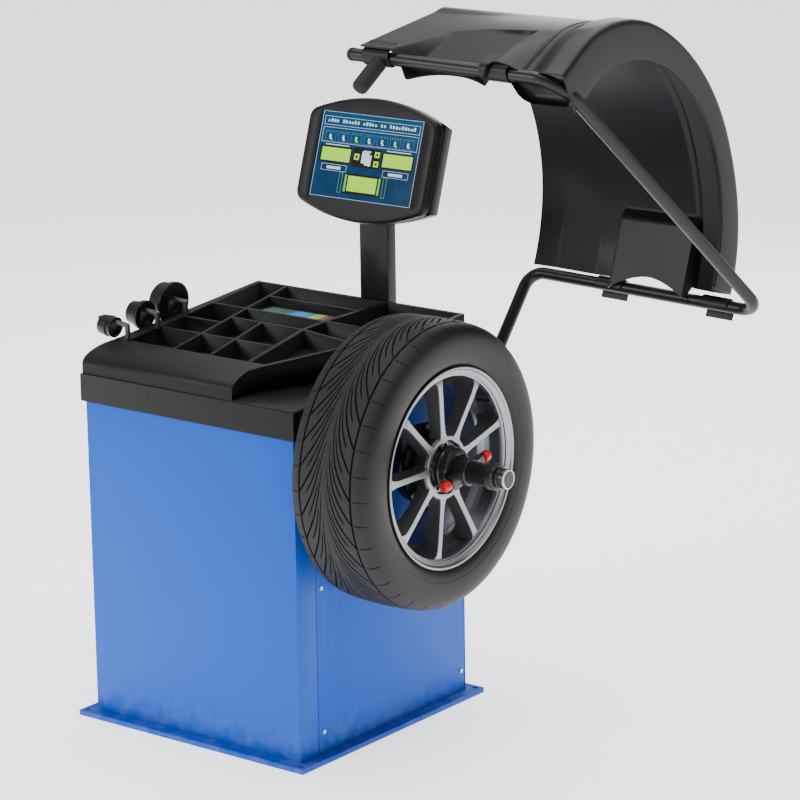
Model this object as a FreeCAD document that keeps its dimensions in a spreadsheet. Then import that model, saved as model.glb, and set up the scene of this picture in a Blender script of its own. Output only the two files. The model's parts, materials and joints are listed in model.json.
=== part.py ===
import FreeCAD, Part

import math
import os
import re

import Sketcher

# Wheel balancer with a mounted car wheel.  Frame: origin on the floor under the middle of the
# base plate, +X along the spindle out of the machine's right side, +Y to the rear, +Z up.
# All lengths are in millimetres and all angles in degrees.

SIZES = {
    # base plate and cabinet
    "base_lip": 30, "base_thick": 12, "anchor_inset": 15, "anchor_radius": 6,
    "cabinet_side": 600, "sheet_wall": 2.5, "panel_top": 780, "front_return": 64, "seam_gap": 1.5,
    "post_leg": 30, "post_wall": 3, "frame_top": 736, "screw_head": 5,
    # moulded tray
    "skirt_low": 740, "skirt_high": 802, "skirt_proud": 8, "skirt_ledge": 4,
    "shoulder_rise": 23, "crown_front": 108, "front_top": 859, "tray_slope": 4.78,
    "slab_depth": 46, "well_depth": 40, "rib_width": 7, "tray_wall": 4,
    "label_length": 205, "label_width": 60, "label_thick": 1.5,
    # spindle
    "axis_side": -70, "axis_height": 665.5, "shaft_radius": 18, "shaft_tail": -150, "tip_proud": 26,
    "tip_radius": 17.5, "free_end": 24, "tip_bore": 9, "tip_bore_depth": 40, "journal_radius": 17.5, "step_gap": 12,
    "bearing_radius": 36, "bearing_width": 17, "housing_radius": 40, "housing_left": -70,
    "housing_proud": 18, "fit_gap": 0.05,
    "plate_radius": 92, "neck_radius": 45, "disc_inset": 42, "cup_depth": 40,
    # wheel
    "wheel_gap": 151, "rim_half": 101, "flange_radius": 220.5, "seat_radius": 203, "well_radius": 182,
    "rim_wall": 6.5, "wheel_bore": 30, "hub_radius": 72, "hub_thick": 42, "spoke_count": 9,
    "spoke_phase": 18.3, "spoke_width": 20, "lug_circle": 50, "lug_radius": 8,
    "tyre_radius": 316, "tyre_half": 106, "tyre_wall": 12,
    # quick nut
    "nut_gap": 0.06, "nut_radius": 30, "nut_long": 67, "wing_gap": 50, "wing_angle": 14,
    "wing_reach": 58, "button_radius": 12, "button_top": 83, "button_travel": 5, "stem_radius": 5,
    "sleeve_radius": 25, "collar_radius": 29, "sleeve_long": 50, "collar_long": 20,
    # drive
    "spindle_pulley_radius": 60, "motor_pulley_radius": 20, "pulley_width": 20, "belt_gap": 0.4,
    "belt_thick": 3, "motor_height": 430, "motor_radius": 58, "rotor_radius": 7, "motor_length": 150, "column_width": 120,
    "column_depth": 150, "column_wall": 5, "encoder_radius": 50, "encoder_thick": 2,
    # monitor
    "post_width": 82, "post_deep": 30, "post_left": 0, "post_gap": 11, "post_low": 600, "post_top": 1232,
    "monitor_width": 368, "monitor_side": 203, "monitor_bow": 40, "monitor_middle": 90,
    "monitor_gap": 74, "monitor_height": 1242, "monitor_tilt": 18, "bezel_deep": 28, "shell_deep": 42, "shell_taper": 10,
    "screen_width": 290, "screen_tall": 198, "screen_lift": 4, "hinge_gap": 12, "hinge_height": 1205,
    "hinge_pin": 5,
    # hood
    "hood_middle": 115, "hood_height": 1150, "hood_radius": 455, "hood_bulge": 466, "hood_ring": 398,
    "hood_edge": 8,
    "hood_gap": 34, "hood_width": 516, "channel_place": 448, "hood_wall": 4, "hood_rear": 22.5,
    "hood_sweep": 137.5, "tube_radius": 14, "tube_wall": 2, "frame_front": -74, "start_gap": 0,
    "frame_high": 1538, "corner_inset": 15, "frame_corner_high": 1528, "frame_proud": 98,
    "frame_rear": 530, "frame_low": 944, "arm_gap": 26, "arm_top": 961, "pivot_gap": 77,
    "pivot_height": 772, "pivot_inset": 110, "corner_bend": 80, "low_bend": 50, "arm_bend": 40,
    "grip_radius": 18, "grip_length": 86, "grip_gap": 81, "pivot_wall": 5, "clip_length": 70,
    # cones and gauge
    "peg_radius": 6, "peg_lean": 5, "peg_inset": 27, "peg_sink": 3, "peg_rise": 32, "peg_reach": 84, "cone_bore": 18.5,
    "gauge_side": -150, "gauge_height": 688, "rod_radius": 8, "gauge_arm": 125, "gauge_gap": 14,
    "gauge_lean": 60,
    # the tray's wells: rows of ribs along Y, and the two long ribs' ends along X
    "well_front": -188, "well_back": 296, "row_first": -75, "row_second": 10, "row_third": 52,
    "row_label": 120, "row_back": 218, "left_rib_front": -271, "left_rib_back": -294,
    "ridge_front": 86, "ridge_middle": 43, "ridge_back": 84, "ridge_bend": 49,
}

# Places worked out from the sizes above.
DERIVED = {
    "cabinet_half": "cabinet_side / 2",
    "base_half": "cabinet_half + base_lip",
    "wheel_middle": "cabinet_half + wheel_gap",
    "mount_face": "wheel_middle + disc_inset",
    "hub_face": "mount_face + hub_thick",
    "nut_right": "hub_face + nut_long",
    "wing_plane": "hub_face + wing_gap",
    "collar_left": "nut_right + sleeve_long",
    "collar_right": "collar_left + collar_long",
    "shaft_tip": "collar_right + tip_proud",
    "housing_right": "cabinet_half + housing_proud",
    "shaft_step": "housing_right + step_gap",
    "gauge_plane": "cabinet_half + gauge_gap",
    "hood_left": "cabinet_half + hood_gap",
    "hood_step": "hood_left + channel_place",
    "hood_right": "hood_left + hood_width",
    "frame_corner": "hood_right - corner_inset",
    "frame_far": "hood_right + frame_proud",
    "arm_plane": "cabinet_half + arm_gap",
    "pivot_inner": "cabinet_half - pivot_inset",
    "pivot_side": "cabinet_half + pivot_gap",
    "post_front": "cabinet_half + post_gap",
    "hinge_side": "post_front - hinge_gap",
    "monitor_front": "hinge_side - monitor_gap",
    "frame_start": "cabinet_half + start_gap",
    "grip_place": "frame_start + grip_gap",
    "tray_half": "cabinet_half + skirt_proud",
    "ledge_half": "tray_half - skirt_ledge",
    "crown_y": "crown_front - tray_half",
    "tray_rear_top": "front_top + (ledge_half - crown_y) * tan(tray_slope)",
    "rim_left": "wheel_middle - rim_half",
    "rim_right": "wheel_middle + rim_half",
    "nut_bore": "shaft_radius + nut_gap",
    "post_middle": "post_left + post_width / 2",
    "monitor_half": "monitor_width / 2",
    "pulley_left": "shaft_tail + 12",
}

CONES = {
    "small_cone": {"deep": -185, "length": 40, "steps": [(24, 24), (24, 22)]},
    "medium_cone": {"deep": -85, "length": 40, "steps": [(35, 33), (35, 26)]},
    "large_cone": {"deep": 12, "length": 40, "steps": [(52, 50), (52, 44)]},
}

PLANES = {"XY": "XY_Plane", "XZ": "XZ_Plane", "YZ": "YZ_Plane"}
Vector = FreeCAD.Vector
ALONG_X = FreeCAD.Rotation(Vector(0, 1, 0), 90)
ALONG_Y = FreeCAD.Rotation(Vector(1, 0, 0), -90)
ALONG_Z = FreeCAD.Rotation()
AXIS_X = Vector(1, 0, 0)
AXIS_Y = Vector(0, 1, 0)
AXIS_Z = Vector(0, 0, 1)

doc = FreeCAD.newDocument("wheel_balancer")
sheet = doc.addObject("Spreadsheet::Sheet", "Sizes")
for row, (alias, number) in enumerate(SIZES.items(), start=1):
    sheet.set(f"A{row}", alias)
    sheet.set(f"B{row}", str(number))
    sheet.setAlias(f"B{row}", alias)
doc.recompute()
probe = doc.addObject("App::FeaturePython", "probe")
probe.addProperty("App::PropertyFloat", "reading")
nodes = {}


# ---------------------------------------------------------------- helpers

def formula(text):
    """Turn the names of sizes and places in a formula into references to the sheet."""
    def swap(found):
        word = found.group(0)
        if word in DERIVED:
            return f"({formula(DERIVED[word])})"
        if word in SIZES:
            return f"Sizes.{word}"
        return word
    return re.sub(r"[a-z][a-z_]+", swap, str(text))


def measure(text):
    """Work out the number that a formula stands for."""
    probe.setExpression("reading", formula(text))
    probe.recompute()
    return probe.reading


def point(*texts):
    return Vector(*[measure(text) for text in texts])


def bind(item, **formulas):
    for name, text in formulas.items():
        item.setExpression(name, formula(text))


def put(item, at=(0, 0, 0), turn=ALONG_Z, angle=None, about=AXIS_X):
    """Bind an item's place, and its turn about an axis where an angle is given."""
    item.Placement = FreeCAD.Placement(Vector(), turn if angle is None else FreeCAD.Rotation(about, 1))
    for letter, text in zip("xyz", at):
        item.setExpression(f"Placement.Base.{letter}", formula(text))
    if angle is not None:
        item.setExpression("Placement.Rotation.Angle", formula(angle))
    return item


def box(low, size, name="box"):
    item = doc.addObject("Part::Box", name)
    bind(item, Length=size[0], Width=size[1], Height=size[2])
    return put(item, low)


def rod(radius, length, at, turn=ALONG_X, name="rod"):
    item = doc.addObject("Part::Cylinder", name)
    bind(item, Radius=radius, Height=length)
    return put(item, at, turn)


def ring(radius, bore, length, at, turn=ALONG_X, name="ring"):
    return cut(rod(radius, length, at, turn), rod(bore, length, at, turn), name=name)


def fuse(*items, name="fuse"):
    if len(items) == 1:
        return items[0]
    item = doc.addObject("Part::MultiFuse", name)
    item.Shapes = list(items)
    return item


def cut(base, *tools, name="cut"):
    item = doc.addObject("Part::Cut", name)
    item.Base = base
    item.Tool = fuse(*tools)
    return item


def outline(body, plane, corners):
    """Sketch a closed outline on a plane of the body, each corner held by two bound distances."""
    sketch = body.newObject("Sketcher::SketchObject", "outline")
    origin_plane = [item for item in body.Origin.OriginFeatures if item.Role == PLANES[plane]][0]
    sketch.AttachmentSupport = [(origin_plane, "")]
    sketch.MapMode = "FlatFace"
    places = [(measure(across), measure(up)) for across, up in corners]
    count = len(corners)
    for index in range(count):
        start = Vector(*places[index], 0)
        end = Vector(*places[(index + 1) % count], 0)
        sketch.addGeometry(Part.LineSegment(start, end))
    for index in range(count):
        sketch.addConstraint(Sketcher.Constraint("Coincident", index, 2, (index + 1) % count, 1))
    for index, corner in enumerate(corners):
        for kind, place, text in zip(("DistanceX", "DistanceY"), places[index], corner):
            number = sketch.addConstraint(Sketcher.Constraint(kind, -1, 1, index, 1, place))
            sketch.setExpression(f"Constraints[{number}]", formula(text))
    return sketch


def revolve(body, corners, axis="H_Axis", plane="XY", sweep=360):
    sketch = outline(body, plane, corners)
    item = body.newObject("PartDesign::Revolution", "turned")
    item.Profile = sketch
    item.ReferenceAxis = (sketch, [axis])
    bind(item, Angle=sweep)
    return item


def turned(corners, at=("0", "axis_side", "axis_height"), turn=ALONG_Z, name="turned"):
    """A turned piece: corners are (distance along the axis, radius) and the axis is the body's X."""
    body = doc.addObject("PartDesign::Body", name)
    revolve(body, corners)
    return put(body, at, turn)


def plate(plane, corners, thick, at=(0, 0, 0), name="plate", middle=False):
    """A plate cut to an outline.  It grows along +Z, -Y or +X from an XY, XZ or YZ plane."""
    body = doc.addObject("PartDesign::Body", name)
    pad = body.newObject("PartDesign::Pad", "pad")
    pad.Profile = outline(body, plane, corners)
    bind(pad, Length=thick)
    if middle:
        pad.Midplane = True
    return put(body, at)


def shaped(shape, name="shaped"):
    item = doc.addObject("Part::Feature", name)
    item.Shape = shape
    return item


def node(name, item):
    item.Label = name
    nodes[name] = item
    return item


def rounded_path(corners, bends):
    """Straight runs joined by tangent arcs of the given radii."""
    edges = []
    start = corners[0]
    for before, corner, after, bend in zip(corners, corners[1:], corners[2:], bends):
        towards = (before - corner).normalize()
        away = (after - corner).normalize()
        half = towards.getAngle(away) / 2
        entry = corner + towards * (bend / math.tan(half))
        leave = corner + away * (bend / math.tan(half))
        spine = (towards + away).normalize()
        middle = corner + spine * (bend / math.sin(half) - bend)
        edges.append(Part.LineSegment(start, entry).toShape())
        edges.append(Part.Arc(entry, middle, leave).toShape())
        start = leave
    edges.append(Part.LineSegment(start, corners[-1]).toShape())
    return Part.Wire(edges)


def pipe(path, radius):
    first = path.Edges[0]
    begin = first.valueAt(first.FirstParameter)
    along = first.tangentAt(first.FirstParameter)
    section = Part.Wire(Part.makeCircle(radius, begin, along))
    return path.makePipeShell([section], True, False)


def coil(radius, wire, pitch, length, at, name):
    """A round-wire coil spring with its axis along X, bent from short straight pieces."""
    steps = 12
    reach = measure(radius)
    rise = measure(pitch) / steps
    corners = []
    for step in range(int(measure(length) / rise) + 1):
        turn = 2 * math.pi * step / steps
        corners.append(Vector(step * rise, reach * math.cos(turn), reach * math.sin(turn)))
    section = Part.Wire(Part.makeCircle(measure(wire), corners[0], corners[1] - corners[0]))
    item = shaped(Part.makePolygon(corners).makePipeShell([section], True, False, 1), name)
    item.Placement = FreeCAD.Placement(point(*at), FreeCAD.Rotation())
    return item


# ---------------------------------------------------------------- base plate, cabinet and frame

def make_cabinet():
    anchors = []
    for side in ("-", ""):
        for end in ("-", ""):
            at = (f"{side}(base_half - anchor_inset)", f"{end}(base_half - anchor_inset)", -1)
            anchors.append(rod("anchor_radius", "base_thick + 2", at, ALONG_Z))
    base = box(("-base_half", "-base_half", 0), ("base_half * 2", "base_half * 2", "base_thick"))
    node("base_plate", cut(base, *anchors))

    tall = "panel_top - base_thick"
    folded = plate("XY", [
        ("-cabinet_half", "-cabinet_half"),
        ("cabinet_half", "-cabinet_half"),
        ("cabinet_half", "front_return - cabinet_half"),
        ("cabinet_half - sheet_wall", "front_return - cabinet_half"),
        ("cabinet_half - sheet_wall", "sheet_wall - cabinet_half"),
        ("sheet_wall - cabinet_half", "sheet_wall - cabinet_half"),
        ("sheet_wall - cabinet_half", "front_return - cabinet_half"),
        ("-cabinet_half", "front_return - cabinet_half"),
    ], tall, (0, 0, "base_thick"))
    node("front_panel", folded)

    side_start = "front_return - cabinet_half + seam_gap"
    side_deep = "cabinet_side - front_return - seam_gap - sheet_wall - seam_gap"
    right = box(("cabinet_half - sheet_wall", side_start, "base_thick"), ("sheet_wall", side_deep, tall))
    spindle_hole = rod("housing_radius + 4", 20, ("cabinet_half - 10", "axis_side", "axis_height"))
    gauge_hole = rod("rod_radius + 8", 20, ("cabinet_half - 10", "gauge_side", "gauge_height"))
    node("right_side_panel", cut(right, spindle_hole, gauge_hole))

    left = box(("-cabinet_half", side_start, "base_thick"), ("sheet_wall", side_deep, tall))
    vents = [box(("-cabinet_half - 5", -40, f"200 + {step} * 22"), (20, 240, 6)) for step in range(8)]
    node("left_side_panel", cut(left, *vents))

    rear = box(("-cabinet_half", "cabinet_half - sheet_wall", "base_thick"),
               ("cabinet_side", "sheet_wall", tall))
    inlet = box((-252, "cabinet_half - 10", 118), (48, 20, 28))
    switch = box((-242, "cabinet_half - 10", 163), (28, 20, 20))
    louvres = [box((-90, "cabinet_half - 10", f"210 + {step} * 22"), (220, 20, 6)) for step in range(10)]
    node("rear_panel", cut(rear, inlet, switch, *louvres))

    inner = "cabinet_half - sheet_wall"
    posts = []
    for across in (-1, 1):
        for deep in (-1, 1):
            corners = [(f"{across} * ({x})", f"{deep} * ({y})") for x, y in (
                (inner, inner),
                (f"{inner} - post_leg", inner),
                (f"{inner} - post_leg", f"{inner} - post_wall"),
                (f"{inner} - post_wall", f"{inner} - post_wall"),
                (f"{inner} - post_wall", f"{inner} - post_leg"),
                (inner, f"{inner} - post_leg"),
            )]
            posts.append(plate("XY", corners, "frame_top - base_thick", (0, 0, "base_thick")))
    outer = box((f"-({inner})", f"-({inner})", "frame_top - post_leg"),
                (f"2 * ({inner})", f"2 * ({inner})", "post_leg"))
    hollow = box((f"post_wall - ({inner})", f"post_wall - ({inner})", "frame_top - post_leg - 1"),
                 (f"2 * ({inner} - post_wall)", f"2 * ({inner} - post_wall)", "post_leg + 2"))
    node("inner_frame", fuse(cut(outer, hollow), *posts))

    screws = []
    for height in (60, "panel_top / 2", "skirt_low - 40"):
        for deep in ("front_return - cabinet_half + 18", "cabinet_half - 18"):
            screws.append(rod("screw_head", 2, ("cabinet_half", deep, height)))
            screws.append(rod("screw_head", 2, ("-cabinet_half - 2", deep, height)))
        for across in ("18 - cabinet_half", "cabinet_half - 18"):
            screws.append(rod("screw_head", 2, (across, "cabinet_half", height), ALONG_Y))
    node("panel_screws", fuse(*screws))


# ---------------------------------------------------------------- moulded tray

def tray_height(deep):
    """Height of the tray's sloping top at a distance along Y."""
    return f"(front_top + (({deep}) - crown_y) * tan(tray_slope))"


def rib(start, end, wide="rib_width"):
    """A tall bar between two places in plan, for the walls left between the tray's wells."""
    x0, y0, x1, y1 = [measure(text) for text in (*start, *end)]
    length = math.hypot(x1 - x0, y1 - y0)
    angle = math.degrees(math.atan2(y1 - y0, x1 - x0))
    body = plate("XY", [(0, f"-{wide} / 2"), (length, f"-{wide} / 2"),
                        (length, f"{wide} / 2"), (0, f"{wide} / 2")], 200)
    return put(body, (x0, y0, "skirt_high - 20"), angle=angle, about=AXIS_Z)


def make_tray():
    shoulder = "skirt_high + shoulder_rise"
    steps = 10
    crest = [(f"-ledge_half + crown_front * (1 - cos({90 * step / steps}))",
              f"{shoulder} + (front_top - ({shoulder})) * sin({90 * step / steps})") for step in range(steps + 1)]
    profile = [("-ledge_half", "skirt_high"), *crest, ("ledge_half", "tray_rear_top"), ("ledge_half", "skirt_high")]
    crown = plate("YZ", profile, "2 * ledge_half", ("-ledge_half", 0, 0))
    band = box(("-tray_half", "-tray_half", "skirt_low"),
               ("2 * tray_half", "2 * tray_half", "skirt_high - skirt_low"))
    inside = "cabinet_half + 0.6"
    hollow = box((f"-({inside})", f"-({inside})", "skirt_low - 1"),
                 (f"2 * ({inside})", f"2 * ({inside})", "skirt_high - skirt_low - tray_wall + 1"))
    under = plate("YZ", [
        ("tray_wall - ledge_half", "skirt_high - 10"),
        ("tray_wall - ledge_half", f"{shoulder} - 12"),
        ("crown_y", tray_height("crown_y") + " - slab_depth"),
        ("ledge_half - tray_wall", tray_height("ledge_half") + " - slab_depth"),
        ("ledge_half - tray_wall", "skirt_high - 10"),
    ], "2 * (ledge_half - tray_wall)", ("tray_wall - ledge_half", 0, 0))

    # One recess over the whole top, with the ribs left standing in it.
    recess = plate("XY", [("left_rib_front", "well_front"), (90, "well_front"), (128, "well_front"), (200, -24),
                          ("ledge_half - 10", 2), ("ledge_half - 10", "well_back"),
                          ("left_rib_back", "well_back")], 200)
    first = "well_front - 40"
    last = "well_back + 40"
    above = "tray_rear_top + 200"
    slope = plate("YZ", [(first, tray_height(first) + " - well_depth"), (last, tray_height(last) + " - well_depth"),
                         (last, above), (first, above)], "tray_half * 3", ("-tray_half * 1.5", 0, 0))
    put(recess, (0, 0, "skirt_high"))
    wells = doc.addObject("Part::Common", "wells")
    wells.Base = recess
    wells.Tool = slope
    crossing = ("ridge_middle", "ridge_bend")
    thick = "1.6 * rib_width"
    ribs = [
        rib(("left_rib_front", "well_front"), ("left_rib_back", "well_back")),
        rib((-280, "row_first"), (62, "row_first")),
        rib((-285, "row_second"), (-165, "row_second")),
        rib((-170, "row_third"), crossing),
        rib((-290, "row_label"), (310, "row_label")),
        rib((-200, "row_back"), (72, "row_back")),
        rib((-132, "well_front"), (-211, "well_back")),
        rib((-26, "well_front"), (-79, "row_third")),
        rib(("ridge_front", "well_front"), crossing, thick),
        rib(crossing, ("ridge_middle + 6", "row_label"), thick),
        rib(("ridge_middle + 6", "row_label"), ("ridge_back", "well_back"), thick),
        rib(crossing, (310, 2)),
    ]
    label_panel = box((-190, "row_label", "skirt_high"),
                      (245, "row_back - row_label", tray_height("row_label") + " - skirt_high - 12"))
    recessed = cut(wells, *ribs, label_panel)
    scoop = plate("XY", [(136, "-ledge_half - 20"), (128, -240), (140, -196), (207, -34), ("ledge_half - 4", -6),
                         ("ledge_half + 20", -6), ("ledge_half + 20", "-ledge_half - 20")], 200,
                  (0, 0, "skirt_high + 2"))
    peg_holes = [rod("peg_radius + fit_gap", 30, ("peg_inset - cabinet_half", cone["deep"],
                                                  tray_height(cone["deep"]) + " - peg_sink - 0.5"), ALONG_Z)
                 for cone in CONES.values()]
    tray = cut(fuse(crown, band), hollow, under, recessed, scoop, *peg_holes)
    floor_sheet = plate("XY", [(130, "1 - ledge_half"), ("ledge_half - 1", "1 - ledge_half"),
                               ("ledge_half - 1", 10), (215, -20), (132, -215)], "tray_wall",
                        (0, 0, "skirt_high - 2"))
    node("weight_tray", fuse(tray, floor_sheet))


# ---------------------------------------------------------------- spindle and its drive

def make_spindle():
    journal = "journal_radius"
    shaft = turned([
        ("shaft_tail", 0), ("shaft_tail", journal), ("shaft_step", journal),
        ("shaft_step", "shaft_radius"), ("shaft_tip - free_end", "shaft_radius"),
        ("shaft_tip - free_end", "tip_radius"), ("shaft_tip - 2", "tip_radius"), ("shaft_tip", "tip_radius - 2"),
        ("shaft_tip", "tip_bore"), ("shaft_tip - tip_bore_depth", "tip_bore"),
        ("shaft_tip - tip_bore_depth - 5", 0),
    ])
    node("main_shaft", shaft)

    face = "mount_face"
    node("backplate", turned([
        ("shaft_step", "shaft_radius"), ("shaft_step", "neck_radius"),
        (f"{face} - cup_depth - 16", "neck_radius"), (f"{face} - cup_depth", "plate_radius - 8"),
        (f"{face} - 14", "plate_radius"), (face, "plate_radius"), (face, "plate_radius - 24"),
        (f"{face} - cup_depth", "plate_radius - 32"), (f"{face} - cup_depth", "shaft_radius"),
    ]))
    node("back_cone", turned([
        (f"{face} - 15", "nut_bore"), (f"{face} - 15", "wheel_bore + 8"),
        (f"{face} - 11", "wheel_bore + 5.7"), (f"{face} + 13", "wheel_bore - 7.5"),
        (f"{face} + 13", "nut_bore"),
    ]))
    node("cone_spring", coil("wheel_bore - 3", 1.5, 7, "cup_depth - 19",
                             (f"{face} - cup_depth + 1.7", "axis_side", "axis_height"), "cone_spring"))

    housing = ring("housing_radius", "bearing_radius", "housing_right - housing_left",
                   ("housing_left", "axis_side", "axis_height"))
    node("spindle_housing", housing)
    bearings = []
    for left in ("housing_left + 6", "housing_right - bearing_width - 6"):
        bearings.append(ring("bearing_radius", "journal_radius + fit_gap", "bearing_width",
                             (left, "axis_side", "axis_height")))
    node("spindle_bearings", fuse(*bearings))

    column_left = 60
    column_top = "axis_height - housing_radius - 46"
    column = box((column_left, "axis_side - column_depth / 2", "base_thick"),
                 ("column_width", "column_depth", f"{column_top} - base_thick"))
    hollow = box((f"{column_left} + column_wall", "axis_side - column_depth / 2 + column_wall", "base_thick"),
                 ("column_width - 2 * column_wall", "column_depth - 2 * column_wall",
                  f"{column_top} - base_thick - column_wall"))
    node("support_column", cut(column, hollow))
    sensors = [rod(14, 18, (f"{column_left} + column_width / 2", f"axis_side + {side} * 45", column_top), ALONG_Z)
               for side in (-1, 1)]
    node("piezo_sensors", fuse(*sensors))
    cradle = plate("YZ", [
        ("-column_depth / 2", "-housing_radius - 28"), ("column_depth / 2", "-housing_radius - 28"),
        ("column_depth / 2", "-housing_radius - 18"), ("housing_radius + 6", -6),
        ("-housing_radius - 6", -6), ("-column_depth / 2", "-housing_radius - 18"),
    ], "column_width", (column_left, "axis_side", "axis_height"))
    seat = rod("housing_radius", "column_width + 10", (f"{column_left} - 5", "axis_side", "axis_height"))
    node("housing_cradle", cut(cradle, seat))

    disc = turned([(0, journal), (0, "encoder_radius"), ("encoder_thick", "encoder_radius"),
                   ("encoder_thick", 24), (10, 24), (10, journal)],
                  ("pulley_left + pulley_width + 14", "axis_side", "axis_height"))
    slots = []
    for step in range(24):
        slot = box((-1, -1.5, "encoder_radius - 10"), ("encoder_thick + 2", 3, 6))
        holder = doc.addObject("Part::Fuse", "slot")
        holder.Base = slot
        holder.Tool = box((-1, -1.5, "encoder_radius - 7"), ("encoder_thick + 2", 3, 3))
        slots.append(put(holder, ("pulley_left + pulley_width + 14", "axis_side", "axis_height"),
                         angle=step * 15))
    node("encoder_disc", cut(disc, *slots))
    reader = box(("pulley_left + pulley_width + 6", "axis_side - 12", "axis_height + encoder_radius - 12"),
                 (18, 24, 26))
    slit = box(("pulley_left + pulley_width + 12", "axis_side - 13", "axis_height + encoder_radius - 13"),
               (6, 26, 17))
    bracket = box(("pulley_left + pulley_width + 6", "axis_side - 12", "axis_height + encoder_radius + 14"),
                  ("housing_left - pulley_left - pulley_width + 24", 24, 3))
    foot = box(("housing_left + 26", "axis_side - 12", "axis_height + housing_radius - 4"),
               (4, 24, "encoder_radius - housing_radius + 21"))
    housing_room = rod("housing_radius", 60, ("housing_left", "axis_side", "axis_height"))
    node("encoder_reader", cut(fuse(reader, bracket, foot), slit, housing_room))


def make_drive():
    def grooved(radius):
        """The outline of a pulley's groove and two flanges."""
        return [(0, f"{radius} + 4"), (2, f"{radius} + 4"), (2, radius),
                ("pulley_width - 2", radius), ("pulley_width - 2", f"{radius} + 4"),
                ("pulley_width", f"{radius} + 4")]
    bore = "journal_radius"
    node("spindle_pulley", turned([(0, bore), *grooved("spindle_pulley_radius"), ("pulley_width", bore)],
                                  ("pulley_left", "axis_side", "axis_height")))
    rotor = "rotor_radius"
    node("motor_pulley", turned([(0, 0), *grooved("motor_pulley_radius"), ("pulley_width", rotor),
                                 ("pulley_width + 30", rotor), ("pulley_width + 30", 0)],
                                ("pulley_left", "axis_side", "motor_height")))
    start = "pulley_left + pulley_width + 14"
    motor = turned([(0, "rotor_radius + fit_gap"), (0, 24), (6, 24), (6, "motor_radius"), ("motor_length - 10", "motor_radius"),
                    ("motor_length", "motor_radius - 10"), ("motor_length", 0), (20, 0),
                    (20, "rotor_radius + fit_gap")],
                   (start, "axis_side", "motor_height"))
    node("drive_motor", motor)
    mount = box((f"{start} + 20", "axis_side - 50", "motor_height - motor_radius - 8"),
                (f"60 - ({start} + 20)", 100, 8))
    saddles = [box((f"{start} + {reach}", "axis_side - 40", "motor_height - motor_radius - 4"), (8, 80, 24))
               for reach in (30, 100)]
    room = rod("motor_radius", "motor_length", (start, "axis_side", "motor_height"))
    node("motor_mount", fuse(mount, cut(fuse(*saddles), room)))

    big = measure("spindle_pulley_radius + belt_gap")
    small = measure("motor_pulley_radius + belt_gap")
    rise = measure("axis_height - motor_height")

    def loop(extra):
        """The belt's closed outline in Y and Z about the motor, grown by a thickness."""
        top = big + extra
        low = small + extra
        lean = math.asin((top - low) / rise)
        high = Vector(0, 0, rise)
        def at_angle(centre, radius, angle):
            return centre + Vector(0, radius * math.cos(angle), radius * math.sin(angle))
        right_top = at_angle(high, top, -lean)
        left_top = at_angle(high, top, math.pi + lean)
        right_low = at_angle(Vector(), low, -lean)
        left_low = at_angle(Vector(), low, math.pi + lean)
        return Part.Wire([
            Part.Arc(right_top, at_angle(high, top, math.pi / 2), left_top).toShape(),
            Part.LineSegment(left_top, left_low).toShape(),
            Part.Arc(left_low, at_angle(Vector(), low, -math.pi / 2), right_low).toShape(),
            Part.LineSegment(right_low, right_top).toShape(),
        ])
    width = Vector(measure("pulley_width - 6"), 0, 0)
    band = Part.Face(loop(measure("belt_thick"))).extrude(width).cut(Part.Face(loop(0)).extrude(width))
    belt = shaped(band, "drive_belt")
    belt.Placement = FreeCAD.Placement(point("pulley_left + 3", "axis_side", "motor_height"), FreeCAD.Rotation())
    node("drive_belt", belt)


def make_electrics():
    board = box(("3 + post_wall - cabinet_half + 30", 60, 330), (1.6, 180, 240))
    chips = [box(("3 + post_wall - cabinet_half + 31.6", f"80 + {step} * 36", f"360 + {step % 2} * 90"), (6, 24, 40))
             for step in range(4)]
    standoffs = [rod(4, "3 + post_wall + 30 - sheet_wall", ("sheet_wall - cabinet_half", deep, high))
                 for deep in (70, 230) for high in (340, 560)]
    node("control_board", fuse(board, *chips, *standoffs))
    node("power_supply", box((-260, 120, "base_thick"), (120, 160, 60)))
    inlet = box((-252, "cabinet_half - 28", 118), (48, 28, 28))
    rim = box((-258, "cabinet_half", 112), (60, 3, 40))
    socket = box((-242, "cabinet_half - 16", 123), (28, 30, 18))
    node("power_inlet", cut(fuse(inlet, rim), socket))
    body = box((-242, "cabinet_half - 22", 163), (28, 22, 20))
    collar = box((-245, "cabinet_half", 160), (34, 2.5, 26))
    room = box((-239.5, "cabinet_half - 12", 164.5), (23, 16, 17))
    node("switch_body", cut(fuse(body, collar), room))
    rocker = plate("YZ", [(-5, -6.8), (5.5, -6.8), (2.5, 0), (3.5, 6.8), (-5, 6.8)], 22.4,
                   (-239.2, "cabinet_half", 173))
    barrel = cut(rod(6.4, 22.4, (-239.2, "cabinet_half", 173)), box((-245, "cabinet_half - 1", 160), (40, 10, 26)))
    node("switch_rocker", fuse(rocker, barrel))


# ---------------------------------------------------------------- wheel

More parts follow.
